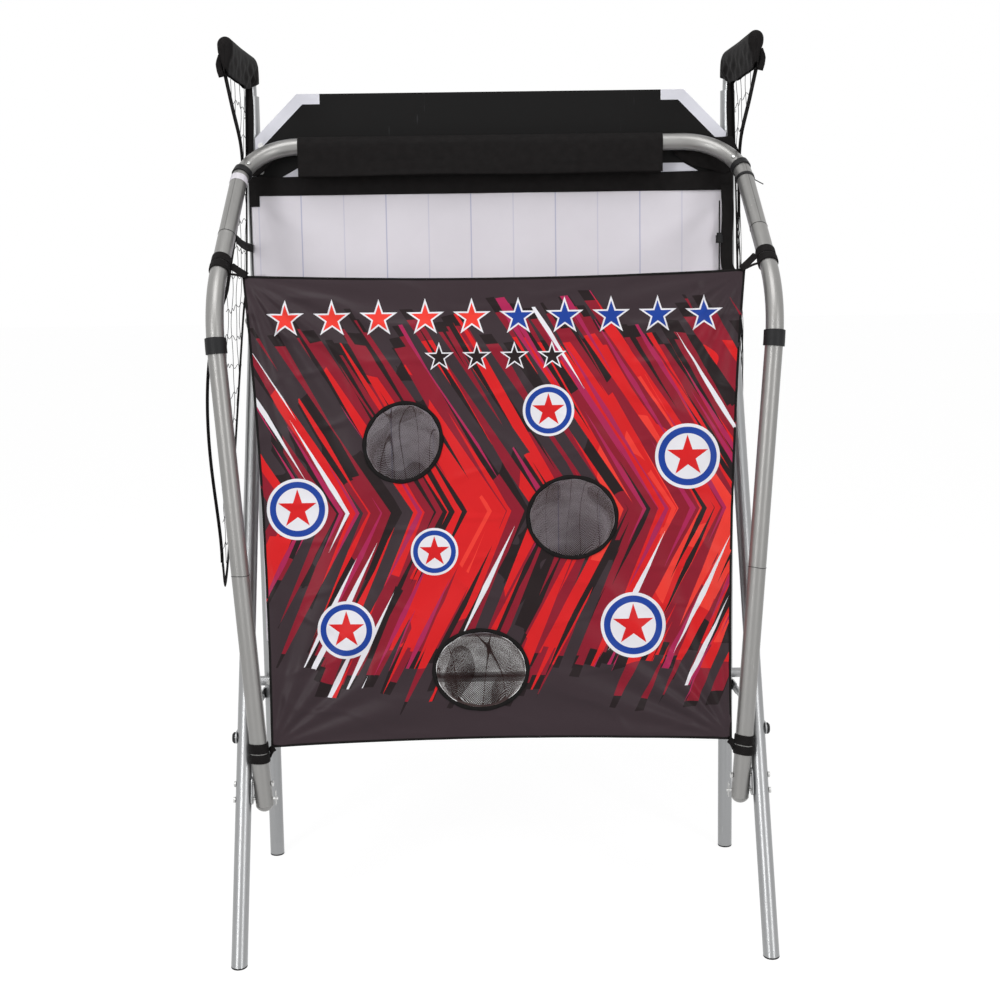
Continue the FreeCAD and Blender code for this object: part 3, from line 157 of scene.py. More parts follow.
class TargetNetFinish(bpy.types.PropertyGroup):
    """Colours of the paint, plastic and cloth."""

    leg_paint: colour("Leg paint", "Silver paint of the stand", (0.34, 0.345, 0.35))
    frame_paint: colour("Frame paint", "Grey paint of the front frame", (0.280, 0.276, 0.268))
    zinc: colour("Zinc", "Bolts, clips and buttons", (0.62, 0.62, 0.61))
    plastic: colour("Plastic", "Black collars, knobs and locks", (0.008, 0.008, 0.009))
    rubber: colour("Rubber", "Feet", (0.014, 0.014, 0.015))
    board_black: colour("Board black", "Printed field of the backboard", (0.0065, 0.0062, 0.0062))
    board_white: colour("Board white", "Bare corners of the backboard", (0.70, 0.70, 0.76))
    cloth_white: colour("Cloth white", "Rear cloth", (0.745, 0.715, 0.765))
    cloth_line: colour("Cloth line", "Pinstripes of the rear cloth", (0.40, 0.40, 0.56))
    black_cloth: colour("Black cloth", "Hoods, sleeve, bindings and straps", (0.0070, 0.0062, 0.0062))
    net_cord: colour("Net cord", "Side nets", (0.012, 0.011, 0.012))
    mesh: colour("Mesh", "Pocket bags", (0.078, 0.047, 0.045))


class TargetNetPrint(bpy.types.PropertyGroup):
    """Inks and sizes of the printed sheet."""

    charcoal: colour("Charcoal", "Ground ink", (0.038, 0.025, 0.030))
    black: colour("Black", "Darkest streaks", (0.014, 0.008, 0.009))
    crimson: colour("Crimson", "Deep red streaks", (0.240, 0.010, 0.024))
    red: colour("Red", "Bright red streaks", (0.640, 0.014, 0.016))
    orange_red: colour("Orange red", "Lightest red streaks", (0.80, 0.045, 0.032))
    rose: colour("Rose", "Rose streaks", (0.38, 0.018, 0.085))
    blue: colour("Blue", "Blue motifs", (0.012, 0.050, 0.300))
    white: colour("White", "White lines", (0.76, 0.75, 0.79))
    row_width: length("Row", "Width of a broad streak", 0.043, 0.01, 0.2)
    fine_row_width: length("Fine row", "Width of a thin streak", 0.0125, 0.004, 0.1)


class TargetNetCloth(bpy.types.PropertyGroup):
    """Sizes of the folds, cords and cloth."""

    sheet_fold: length("Sheet fold", "Depth of the sheet's folds, per metre from its corners", 0.046, 0.0, 0.1)
    sheet_step: length("Sheet step", "Mesh size of the target sheet", 0.0046, 0.002, 0.02)
    cloth_fold_high: length("Fold at top", "Fold depth at the top of the rear cloth", 0.0012, 0.0, 0.02)
    cloth_fold_low: length("Fold at foot", "Fold depth at the foot of the rear cloth", 0.006, 0.0, 0.03)
    net_cell: length("Net cell", "Side net, cord to cord", 0.060, 0.01, 0.2)
    net_cord: length("Net cord", "Thickness of the net's cord", 0.0013, 0.0005, 0.01)


def settings(kind):
    """The scene's settings of one kind: finish, print or cloth."""
    return getattr(bpy.context.scene, "target_net_" + kind)


# Meshes from arrays

def limited(value):
    """A value kept between 0 and 1."""
    return np.clip(value, 0, 1)


def crossed(first, second):
    """Two arrays that hold every pair of the values of two rows."""
    return np.meshgrid(first, second, indexing="ij")


def placed(name, data):
    """A new object of a mesh, curve, camera or lamp."""
    piece = bpy.data.objects.new(name, data)
    bpy.context.scene.collection.objects.link(piece)
    return piece


def mesh_object(name, points, faces, maps=None):
    """A mesh object from an array of points and one of quads, with a map in metres."""
    mesh = bpy.data.meshes.new(name)
    points = np.asarray(points, dtype=np.float32).reshape(-1, 3)
    faces = np.asarray(faces, dtype=np.int32).reshape(-1, 4)
    mesh.vertices.add(len(points))
    mesh.vertices.foreach_set("co", points.ravel())
    mesh.loops.add(faces.size)
    mesh.loops.foreach_set("vertex_index", faces.ravel())
    mesh.polygons.add(len(faces))
    mesh.polygons.foreach_set("loop_start", np.arange(0, faces.size, 4, dtype=np.int32))
    mesh.polygons.foreach_set("loop_total", np.full(len(faces), 4, dtype=np.int32))
    mesh.update(calc_edges=True)
    if maps is not None:
        layer = mesh.uv_layers.new(name="cloth")
        layer.data.foreach_set("uv", np.asarray(maps, dtype=np.float32).reshape(-1, 2)[faces.ravel()].ravel())
    mesh.polygons.foreach_set("use_smooth", np.full(len(faces), True))
    mesh.validate()
    return placed(name, mesh)


def dressed(piece, body, finish, *nodes):
    """Finishes a piece, and names its body and the CAD nodes it replaces."""
    piece.data.materials.append(material(finish))
    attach(piece, body)
    if nodes:
        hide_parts(*nodes)
    return piece


def grid_faces(rows, columns, close_rows=False, close_columns=False):
    """Quads of a grid of rows by columns points, joined end to end where it is closed."""
    row, column = crossed(np.arange(rows - (not close_rows)), np.arange(columns - (not close_columns)))
    below = row * columns
    above = (row + 1) % rows * columns
    beside = (column + 1) % columns
    return np.stack([below + column, above + column, above + beside, below + beside], axis=-1).reshape(-1, 4)


def cloth(name, body, finish, wall, points, maps, *nodes, keep=None):
    """A sheet of cloth: a grid of points, or those of its cells that keep marks, and a wall whose
    middle the grid is."""
    rows, columns = points.shape[:2]
    faces = grid_faces(rows, columns)[:, ::-1].reshape(rows - 1, columns - 1, 4)
    used, faces = np.unique(faces if keep is None else faces[keep], return_inverse=True)
    piece = mesh_object(name, points.reshape(-1, 3)[used], faces, np.stack(maps, axis=-1).reshape(-1, 2)[used])
    solid = piece.modifiers.new("wall", "SOLIDIFY")
    solid.thickness = wall
    solid.offset = 0.0
    return dressed(piece, body, finish, *nodes)


def circle(radius, sides):
    """A round profile."""
    angle = np.arange(sides) * 2 * math.pi / sides
    return np.stack([np.cos(angle), np.sin(angle)], axis=1) * radius


def oblong(width, thickness):
    """A strap's profile: a superellipse, nearly square at its ends."""
    angle = np.arange(20) * math.pi / 10
    wide = np.sign(np.cos(angle)) * np.abs(np.cos(angle)) ** 0.35
    return np.stack([wide * width / 2, np.sin(angle) * thickness / 2], axis=1)


def carried(path, across, profile):
    """A closed profile carried along a path and drawn together at both ends.

    A profile point is a distance along across and one along tangent x across. The map holds the
    distance along the path and the distance across it.
    """
    path = np.asarray(path, dtype=float)
    tangent = np.gradient(path, axis=0)
    tangent /= np.linalg.norm(tangent, axis=1, keepdims=True)
    across = across - tangent * np.sum(across * tangent, axis=1, keepdims=True)
    across /= np.linalg.norm(across, axis=1, keepdims=True)
    flat = np.cross(tangent, across)
    offset = across[:, None] * profile[:, :1] + flat[:, None] * profile[:, 1:]
    body = path[:, None] + offset
    points = np.concatenate([path[:1, None] + offset[:1] * 0.02, body, path[-1:, None] + offset[-1:] * 0.02])
    run = np.concatenate([[0.0, 0.0], np.cumsum(np.linalg.norm(np.diff(path, axis=0), axis=1))])
    run = np.append(run, run[-1])
    maps = np.stack(crossed(run, profile[:, 0]), axis=-1)
    faces = grid_faces(len(points), len(profile), close_columns=True)[:, ::-1]
    return points.reshape(-1, 3), faces, maps.reshape(-1, 2)


def joined(name, body, finish, strips, *nodes):
    """One piece of several arrays of points, quads and maps."""
    points, faces, maps = zip(*strips)
    starts = np.cumsum([0] + [len(part) for part in points[:-1]])
    quads = np.concatenate([part + start for part, start in zip(faces, starts)])
    return dressed(mesh_object(name, np.concatenate(points), quads, np.concatenate(maps)), body, finish, *nodes)


def smooth_path(points, count):
    """A smooth line through a few points: a Catmull-Rom spline sampled at count places."""
    points = np.asarray(points, dtype=float)
    padded = np.concatenate([[2 * points[0] - points[1]], points, [2 * points[-1] - points[-2]]])
    place = np.linspace(0, len(points) - 1 - 1e-9, count)
    index = place.astype(int)
    t = (place - index)[:, None]
    a, b, c, d = (padded[index + k] for k in range(4))
    return 0.5 * (2 * b + (c - a) * t + (2 * a - 5 * b + 4 * c - d) * t**2 + (3 * b - 3 * c + d - a) * t**3)


def waves(u, v, seed, count, size_low, size_high):
    """A gentle random surface: the mean of count plane waves of random heading and wavelength."""
    rng = np.random.default_rng(seed)
    total = 0.0
    for angle, span, start in zip(
        rng.uniform(0, math.pi, count), rng.uniform(size_low, size_high, count), rng.uniform(0, 2 * math.pi, count)
    ):
        total = total + np.sin((u * math.cos(angle) + v * math.sin(angle)) * 2 * math.pi / span + start)
    return total / count


# Material nodes

class Value:
    """A number or colour that changes over the surface; arithmetic on it adds Math nodes."""

    def __init__(self, nodes, socket):
        self.nodes = nodes
        self.socket = socket

    def math(self, operation, *others):
        return self.nodes.math(operation, self, *others)

    def __rsub__(self, other):
        return self.nodes.math("SUBTRACT", other, self)

    def __abs__(self):
        return self.math("ABSOLUTE")

    __add__, __sub__, __mul__, __truediv__, __gt__, __lt__ = (
        lambda self, other, operation=operation: self.math(operation, other)
        for operation in ("ADD", "SUBTRACT", "MULTIPLY", "DIVIDE", "GREATER_THAN", "LESS_THAN")
    )


class Nodes:
    """A node tree under construction, with short calls for its nodes and links."""

    def __init__(self, tree):
        self.tree = tree
        self.count = 0

    def add(self, kind, options=None, *numbered, **named):
        """A node of a kind, with its options and its inputs."""
        node = self.tree.nodes.new(kind)
        node.location = (220 * (self.count % 8), -260 * (self.count // 8))
        self.count += 1
        for key, value in (options or {}).items():
            setattr(node, key, value)
        for key, value in (*enumerate(numbered), *named.items()):
            self.put(node, key, value)
        return node

    def put(self, node, key, value):
        """Links a value to an input, or sets the input's default."""
        socket = node.inputs[key.replace("_", " ") if isinstance(key, str) else key]
        if isinstance(value, Value):
            self.tree.links.new(value.socket, socket)
        elif socket.type == "RGBA":
            socket.default_value = (*tuple(value)[:3], 1.0)
        else:
            socket.default_value = value

    def value(self, output, kind, options=None, *numbered, **named):
        """One output of a new node."""
        return Value(self, self.add(kind, options, *numbered, **named).outputs[output])

    def math(self, operation, *values):
        """The result of one arithmetic node."""
        return self.value(0, "ShaderNodeMath", {"operation": operation}, *values)

    def mix(self, factor, first, second):
        """A mix of two colours."""
        node = self.add("ShaderNodeMix", {"data_type": "RGBA"})
        for index, value in ((0, factor), (6, first), (7, second)):
            self.put(node, index, value)
        return Value(self, node.outputs[2])

    def scaled(self, value, low_in, high_in, low_out=0.0, high_out=1.0):
        """A value moved from one range to another, and held inside it."""
        return self.value(0, "ShaderNodeMapRange", None, value, low_in, high_in, low_out, high_out)

    def parts(self, vector):
        """The three parts of a vector."""
        return [Value(self, socket) for socket in self.add("ShaderNodeSeparateXYZ", Vector=vector).outputs]

    def combined(self, x, y, z=0.0):
        """A vector of three parts."""
        return self.value(0, "ShaderNodeCombineXYZ", None, x, y, z)

    def stretched(self, vector, scale, turn=(0.0, 0.0, 0.0)):
        """A vector turned and scaled along each axis."""
        return self.value(0, "ShaderNodeMapping", Vector=vector, Scale=scale, Rotation=turn)

    def noise(self, vector, scale, detail=3.0, roughness=0.55):
        """A noise texture's value."""
        return self.value("Fac", "ShaderNodeTexNoise", Vector=vector, Scale=scale, Detail=detail, Roughness=roughness)

    def bump(self, height, strength, distance):
        """A normal tilted by a height."""
        return self.value("Normal", "ShaderNodeBump", Strength=strength, Distance=distance, Height=height)

    def group(self, name, **inputs):
        """An effect group placed in this tree, as its outputs by name."""
        node = self.add("ShaderNodeGroup", {"node_tree": effect_tree(name)}, **inputs)
        return {socket.name: Value(self, socket) for socket in node.outputs}

    def dust(self, spot, amount):
        """The mask of a dust film."""
        return self.group("dust_film", Vector=spot, Amount=amount)["Mask"]

    def position(self):
        """Object coordinates."""
        return self.value("Object", "ShaderNodeTexCoord")

    def facing_rear(self):
        """How far the surface itself faces the rear: 1 straight to it, and -1 straight to the front."""
        return self.parts(self.value("Normal", "ShaderNodeTexCoord"))[1]

    def cloth_map(self):
        """The piece's own map, in metres along and across the cloth."""
        return self.value("UV", "ShaderNodeUVMap", {"uv_map": "cloth"})

    def surface(self, **inputs):
        """Sets or links inputs of the material's Principled shader, and gives the material back."""
        for key, value in inputs.items():
            self.put(self.shader, key, value)
        return self.material


# Effect groups, each made once and placed in the materials that use it

def plain_weave(n, vector, thread):
    """Plain weave: the product of two thread waves gives the height, and noise gives uneven threads."""
    warp, weft = ((part * math.pi / thread).math("SINE") for part in n.parts(vector)[:2])
    height = warp * weft * 0.5 + 0.5 + n.noise(vector, 300.0, 2.0) * 0.35
    return {"Height": height, "Tone": n.scaled(n.noise(vector, 55.0, 4.0), 0.3, 0.7)}


def paint_skin(n, vector, peel):
    """Powder paint: fine orange peel for the height, faint cloudy tone, and a few thin scuffs."""
    scratch = n.noise(n.stretched(vector, (260.0, 260.0, 14.0), (0.3, 0.1, 0.0)), 1.0, 2.0, 0.4)
    patch = n.scaled(n.noise(vector, 12.0, 2.0), 0.55, 0.7)
    scuff = n.scaled(scratch, 0.66, 0.72) * patch
    return {"Height": n.noise(vector, peel, 2.0), "Tone": n.noise(vector, 9.0, 4.0), "Scuff": scuff}


def dust_film(n, vector, amount):
    """Dust: cloudy patches, thicker on faces that look up."""
    up = n.parts(n.value("Normal", "ShaderNodeNewGeometry"))[2]
    cloud = n.scaled(n.noise(vector, 22.0, 5.0, 0.65), 0.42, 0.7)
    return {"Mask": cloud * n.scaled(up, 0.0, 1.0, 0.15, 1.0) * amount}


def star_cut(n, x, y, size):
    """A five-pointed star: 1 inside. Its edge at any angle is a straight line between a tip and an
    inner corner, so the point's reach square to that line is compared with the size."""
    fifth = 2 * math.pi / 5
    turn = x.math("ARCTAN2", y) + (10 * math.pi + fifth / 2)
    folded = abs(turn.math("MODULO", fifth) - fifth / 2)
    tip_angle = math.radians(18)
    along = (x * x + y * y).math("SQRT") * ((math.pi / 2 - tip_angle) - folded).math("COSINE")
    return {"Mask": along < size * math.sin(tip_angle)}


def streak_rows(n, reach, sweep, row_width, cell_length, slant, seed):
    """Streaks: the row across them and a shifted, slanted cell along them pick one random value."""
    place = reach / row_width
    row = place.math("FLOOR")
    plane, space = ({"noise_dimensions": size} for size in ("2D", "3D"))
    shift = n.value("Value", "ShaderNodeTexWhiteNoise", plane, Vector=n.combined(row, seed)) * 7.0
    cell = (sweep / cell_length + place.math("FRACT") * slant + shift).math("FLOOR")
    return {"Value": n.value("Value", "ShaderNodeTexWhiteNoise", space, Vector=n.combined(row, cell, seed))}


# Effect groups: the function that fills each one, and its inputs in order with their defaults
EFFECTS = {
    "plain_weave": (plain_weave, {"Vector": None, "Thread": 0.001}),
    "paint_skin": (paint_skin, {"Vector": None, "Peel": 900.0}),
    "dust_film": (dust_film, {"Vector": None, "Amount": 0.3}),
    "star_cut": (star_cut, {"X": 0.0, "Y": 0.0, "Size": 0.03}),
    "streak_rows": (streak_rows, {"Reach": 0.0, "Sweep": 0.0, "Row": 0.05, "Cell": 0.4, "Slant": 1.0, "Seed": 0.0}),
}


def effect_tree(name):
    """An effect group by name, made the first time it is asked for."""
    if name in bpy.data.node_groups:
        return bpy.data.node_groups[name]
    fill, inputs = EFFECTS[name]
    tree = bpy.data.node_groups.new(name, "ShaderNodeTree")
    for label, default in inputs.items():
        kind = "NodeSocketVector" if default is None else "NodeSocketFloat"
        socket = tree.interface.new_socket(name=label, in_out="INPUT", socket_type=kind)
        if default is not None:
            socket.default_value = default
    n = Nodes(tree)
    start = n.add("NodeGroupInput")
    results = fill(n, *(Value(n, start.outputs[label]) for label in inputs))
    for label in results:
        tree.interface.new_socket(name=label, in_out="OUTPUT", socket_type="NodeSocketFloat")
    n.add("NodeGroupOutput", **results)
    return tree


# Materials

# Whole repeats added to a place along a pattern, so that its count and fraction are taken above 0
ABOVE_ZERO = 20.0


def new_material(name, **constants):
    """The builder of a new material, with constant inputs of its Principled shader."""
    made = bpy.data.materials.new(name)
    made.use_nodes = True
    n = Nodes(made.node_tree)
    n.material = made
    n.shader = made.node_tree.nodes["Principled BSDF"]
    n.surface(**constants)
    return n


def darker(tint, share):
    """A colour made darker, or lighter above 1."""
    return tuple(min(value * share, 1.0) for value in tint)


def painted_steel(name, paint, metallic, roughness, weld=None):
    """Painted steel tube: orange peel, cloudy tone, thin scuffs and a little dust.

    weld is a point and a direction square to the tube: the thin dark weld line lies where the
    tube's front crosses the plane through the point that is square to the direction.
    """
    n = new_material(name, Metallic=metallic, Coat_Weight=0.2, Coat_Roughness=0.22)
    spot = n.position()
    skin = n.group("paint_skin", Vector=spot)
    dust = n.dust(spot, 0.08)
    base = n.mix(skin["Tone"], darker(paint, 0.90), paint)
    if weld:
        x, y, z = n.parts(spot)
        (px, py, pz), (dx, dy, dz) = weld
        aside = abs((abs(x) - px) * dx + (y - py) * dy + (z - pz) * dz)
        base = n.mix(n.scaled(aside, 0.0005, 0.0012, 0.65, 0.0), base, darker(paint, 0.30))
    worn = n.mix(skin["Scuff"], base, darker(paint, 1.25))
    return n.surface(
        Base_Color=n.mix(dust, worn, (0.55, 0.53, 0.5)),
        Roughness=skin["Tone"] * 0.08 + (roughness - 0.04) + dust * 0.5,
        Normal=n.bump(skin["Height"], 0.03, 0.0001),
    )


def moulded(name, tint, roughness):
    """Moulded black plastic or rubber: fine grain, soft wear and dust."""
    n = new_material(name, Specular_IOR_Level=0.22)
    spot = n.position()
    return n.surface(
        Base_Color=n.mix(n.dust(spot, 0.06), tint, (0.25, 0.24, 0.23)),
        Roughness=n.noise(spot, 30.0) * 0.2 + roughness,
        Normal=n.bump(n.noise(spot, 1400.0), 0.25, 0.0003),
    )


def zinc_plate(name, tint):
    """Zinc-plated steel: cloudy bright metal with fine lines."""
    n = new_material(name, Metallic=1.0)
    spot = n.position()
    cloud = n.noise(spot, 120.0, 4.0)
    return n.surface(
        Base_Color=n.mix(cloud, darker(tint, 0.75), tint),
        Roughness=cloud * 0.25 + 0.18,
        Normal=n.bump(n.noise(spot, 2500.0, 2.0), 0.08, 0.0002),
    )


def woven(name, tint, thread, lighter=1.5, bump=0.35):
    """Woven black cloth or webbing, on the piece's own map."""
    n = new_material(name, Roughness=0.7, Specular_IOR_Level=0.08, Sheen_Weight=0.01, Sheen_Roughness=0.4)
    weave = n.group("plain_weave", Vector=n.cloth_map(), Thread=thread)
    threads = n.mix(weave["Tone"], tint, darker(tint, lighter))
    return n.surface(
        Base_Color=n.mix(n.dust(n.position(), 0.06), threads, (0.05, 0.048, 0.046)),
        Normal=n.bump(weave["Height"], bump, thread * 0.5),
    )


def white_cloth(name, white, line_ink):
    """Rear cloth: off-white polyester with thin blue pinstripes and cloudy tone."""
    n = new_material(name, Roughness=0.62, Specular_IOR_Level=0.25, Sheen_Weight=0.05)
    place = n.cloth_map()
    spacing = 0.093
    across = n.parts(place)[0] / spacing + ABOVE_ZERO
    line = n.scaled(abs(across.math("FRACT") - 0.5), 0.0097, 0.0172, 1.0, 0.0)
    strength = across.math("FLOOR").math("MODULO", 2.0) * 0.45 + 0.35
    cloud = n.scaled(n.noise(place, 7.0, 4.0, 0.6), 0.3, 0.7)
    weave = n.group("plain_weave", Vector=place, Thread=0.0009)
    return n.surface(
        Base_Color=n.mix(line * strength, n.mix(cloud, darker(white, 0.95), white), line_ink),
        Normal=n.bump(weave["Height"], 0.2, 0.0003),
    )


def board_print(name, black, white):
    """Backboard: satin board, a black field with cut corners on bare white, from its own outline.

    The field's edge stands 22 mm in from the top and 34 mm in from the cut corners, and a bare
    white strip with slanted ends runs along its foot.
    """
    n = new_material(name, Specular_IOR_Level=0.09)
    spot = n.position()
    x, y, height = n.parts(spot)
    across = abs(x)
    low, high = box("backboard")
    corner_cut = 0.093
    corner_field = (height < high[2] - 0.022) * (across + height < high[0] + high[2] - corner_cut - 0.034)
    middle_field = across < high[0] - corner_cut - 0.050
    strip = (height < low[2] + 0.030) * (across * 0.55 + height < low[2] + 0.262)
    field = corner_field.math("MAXIMUM", middle_field) * (1.0 - strip) * (n.facing_rear() < 0.5)
    skin = n.group("paint_skin", Vector=spot, Peel=500.0)
    return n.surface(
        Base_Color=n.mix(field, white, n.mix(skin["Scuff"], black, (0.03, 0.03, 0.032))),
        Roughness=skin["Tone"] * 0.15 + 0.45,
        Normal=n.bump(skin["Height"], 0.05, 0.0003),
    )


def pocket_mesh(name, tint):
    """Soft see-through mesh: staggered round holes, larger or smaller with the stretch of the bag,
    small on the low bag, and nearly closed along the dark lines where the mesh is folded."""
    n = new_material(name, Roughness=0.7, Specular_IOR_Level=0.15)
    place = n.cloth_map()
    pitch_across, pitch_up, above = 0.0036, 0.0026, 20 * ABOVE_ZERO
    wide, tall = n.parts(n.stretched(place, (1 / pitch_across, 1 / pitch_up, 1.0)))[:2]
    stagger = (tall + above).math("FLOOR").math("MODULO", 2.0) * 0.5
    x = (wide + stagger + above).math("FRACT") - 0.5
    y = (tall + above).math("FRACT") - 0.5
    stretch = n.scaled(n.noise(place, 13.0, 2.0), 0.35, 0.65, 0.35, 0.46)
    stretch = stretch - n.scaled(n.parts(place)[1], 0.20, 0.24, 0.18, 0.0)
    fold = n.noise(n.stretched(place, (20.0, 2.2, 1.0), (0.0, 0.0, 0.35)), 1.0, 0.0)
    doubled = n.noise(n.stretched(place, (12.0, 5.0, 1.0), (0.0, 0.0, -0.5)), 1.0, 0.0)
    hole = stretch - n.scaled(abs(fold - 0.5), 0.002, 0.008, 0.20, 0.0) - n.scaled(doubled, 0.56, 0.565, 0.0, 0.09)
    return n.surface(
        Base_Color=n.mix(n.noise(place, 40.0), darker(tint, 0.7), darker(tint, 1.3)),
        Alpha=n.scaled((x * x + y * y).math("SQRT") - hole, -0.03, 0.03),
    )


# The print: rows of stars as height, spacing, half length, size and two inks; badges as place and
# radius; thin streaks as the share of their random value that each ink takes
STAR_ROWS = (
    (0.862, 0.094, 0.47, 0.040, "orange_red", "blue"),
    (0.782, 0.076, 0.152, 0.031, "black", "black"),
)
BADGES = (
    (-0.405, 0.480, 0.062), (0.105, 0.672, 0.052), (0.385, 0.575, 0.066),
    (-0.130, 0.390, 0.048), (-0.310, 0.235, 0.058), (0.270, 0.235, 0.066),
)
BROAD_STREAKS = ((0.0, "charcoal"), (0.34, "black"), (0.46, "crimson"), (0.72, "red"), (0.965, "orange_red"))
THIN_STREAKS = ((0.925, 0.95, "white"), (0.84, 0.925, "black"), (0.77, 0.84, "rose"), (0.72, 0.77, "red"))


def streak_print(n, inks, place, across, up):
    """The chevron streaks: broad rows of random red and dark cells, redder towards the middle, and
    thin rows over them, with a charcoal band at the foot and the top."""
    rows = {"Reach": across + abs(up - 0.47) * 0.55 + 2.0, "Sweep": up + across * 0.15 + 2.0}
    broad = n.group("streak_rows", Row=inks.row_width, Cell=0.21, Slant=1.6, Seed=3.0, **rows)["Value"]
    heat = across * 0.50 - abs(up - 0.42) * 0.8 + 0.26 + n.noise(place, 5.0, 1.0) * 0.5
    heat = heat - n.scaled(up, 0.05, 0.20, 0.9, 0.0) - n.scaled(up, 0.80, 0.93, 0.0, 0.9)
    level = broad * 0.72 + heat * 0.60
    ramp = n.add("ShaderNodeValToRGB", Fac=level)
    ramp.color_ramp.interpolation = "CONSTANT"
    elements = ramp.color_ramp.elements
    while len(elements) < len(BROAD_STREAKS):
        elements.new(0.5)
    for element, (stop, ink) in zip(elements, BROAD_STREAKS):
        element.position = stop
        element.color = (*getattr(inks, ink), 1.0)
    layer = Value(n, ramp.outputs["Color"])
    fine = n.group("streak_rows", Row=inks.fine_row_width, Cell=0.13, Slant=1.0, Seed=11.0, **rows)["Value"]
    in_field = level > BROAD_STREAKS[1][0]
    for low_edge, high_edge, ink in THIN_STREAKS:
        layer = n.mix((fine > low_edge) * (fine < high_edge) * in_field, layer, getattr(inks, ink))
    layer = n.mix(up - across * 0.06 < 0.045, layer, inks.charcoal)
    return n.mix(up + across * 0.06 > 0.925, layer, inks.charcoal)


def sheet_print(name):
    """Printed polyester: red and dark chevron streaks that point to the right, rows of stars along
    the top and round badges, on the sheet's own map in metres."""
    inks = settings("print")
    n = new_material(name, Specular_IOR_Level=0.13)
    place = n.cloth_map()
    across, up = n.parts(place)[:2]
    layer = streak_print(n, inks, place, across, up)
    for height, spacing, half, size, left_ink, right_ink in STAR_ROWS:
        local = ((across / spacing + ABOVE_ZERO).math("FRACT") - 0.5) * spacing
        fill = n.mix(across > 0.0, getattr(inks, left_ink), getattr(inks, right_ink))
        row = abs(across) < half
        for share, tint in ((1.0, inks.white), (0.74, fill)):
            star = n.group("star_cut", X=local, Y=up - height, Size=size * share)["Mask"]
            layer = n.mix(star * row, layer, tint)
    for x, y, radius in BADGES:
        dx, dy = across - x, up - y
        far = (dx * dx + dy * dy).math("SQRT")
        for share, tint in ((1.0, inks.white), (0.90, inks.blue), (0.70, inks.white)):
            layer = n.mix(far < radius * share, layer, tint)
        layer = n.mix(n.group("star_cut", X=dx, Y=dy, Size=radius * 0.66)["Mask"], layer, inks.red)
    weave = n.group("plain_weave", Vector=place, Thread=0.0008)
    cloud = n.scaled(n.noise(place, 5.0, 4.0, 0.6), 0.3, 0.7, 0.0, 0.10)
    back = n.scaled(n.facing_rear(), 0.2, 0.3, 0.0, 0.45)
    return n.surface(
        Base_Color=n.mix(back, n.mix(cloud, layer, inks.black), darker(inks.white, 0.35)),
        Roughness=weave["Tone"] * 0.08 + 0.34,
        Normal=n.bump(weave["Height"], 0.12, 0.0003),
    )


def braided_cord(name, tint):
    """The drawcord's braid: two crossing helices of threads round its length."""
    n = new_material(name, Roughness=0.7, Specular_IOR_Level=0.2)
    x, y, z = n.parts(n.position())
    turn = x.math("ARCTAN2", y) * 3.0
    climb = z * (2 * math.pi / 0.006)
    braid = (climb + turn).math("SINE").math("MAXIMUM", (climb - turn).math("SINE"))
    return n.surface(Base_Color=n.mix(braid, tint, darker(tint, 2.5)), Normal=n.bump(braid, 0.5, 0.0004))


# Finishes: the function that makes each one, the colour settings that it takes, and its numbers
FINISHES = {
    "leg_paint": (painted_steel, "leg_paint", 0.85, 0.33),
    "frame_paint": (painted_steel, "frame_paint", 0.70, 0.38),
    "rail_paint": (
        painted_steel, "frame_paint", 0.70, 0.38, (tuple(ELBOW + ALONG_X * 0.003), tuple(ALONG_X - RAIL * RAIL[0]))
    ),
    "zinc": (zinc_plate, "zinc"),
    "moulded_plastic": (moulded, "plastic", 0.40),
    "foot_rubber": (moulded, "rubber", 0.62),
    "backboard_print": (board_print, "board_black board_white"),
    "rear_polyester": (white_cloth, "cloth_white cloth_line"),
    "black_polyester": (woven, "black_cloth", 0.0010),
    "webbing": (woven, "black_cloth", 0.0022, 1.7, 0.8),
    "twisted_cord": (woven, "net_cord", 0.0018, 1.6, 0.6),
    "drawcord_braid": (braided_cord, "net_cord"),
    "pocket_mesh": (pocket_mesh, "mesh"),
    "sheet_print": (sheet_print, ""),
}
# The CAD nodes that keep their own shape, by finish; a name without its side stands for both sides
NODE_FINISHES = {
    "leg_paint": "rear_pole front_leg net_arm spreader rear_crossbar leg_gussets quadrant_plates",
    "frame_paint": "lower_upright middle_upright elbow_tube top_bar end_plugs",
    "rail_paint": "upper_rail",
    "zinc": (
        "spreader_bolts frame_bolts backboard_bolts plate_bolts pivot_bolts stop_pins spring_clips arm_button "
        "corner_button"
    ),
    "moulded_plastic": "corner_collars coupler_collars cord_lock cord_lock_button cable_tie spreader_knob",
    "foot_rubber": "rear_feet front_feet",
    "backboard_print": "backboard",
}
MADE = {}


def material(finish):
    """A finish's material, made the first time it is asked for."""
    if finish not in MADE:
        maker, tints, *numbers = FINISHES[finish]
        paint = settings("finish")
        MADE[finish] = maker(finish, *(tuple(getattr(paint, tint)) for tint in tints.split()), *numbers)
    return MADE[finish]


# The printed sheet and its pockets

def on_sheet(across, up, out):
    """Points at places across and up the sheet, and out in front of it."""
    across, up, out = np.broadcast_arrays(across, up, out)
    return SHEET_LOW + across[..., None] * ALONG_X + up[..., None] * SHEET_UP + out[..., None] * SHEET_FRONT


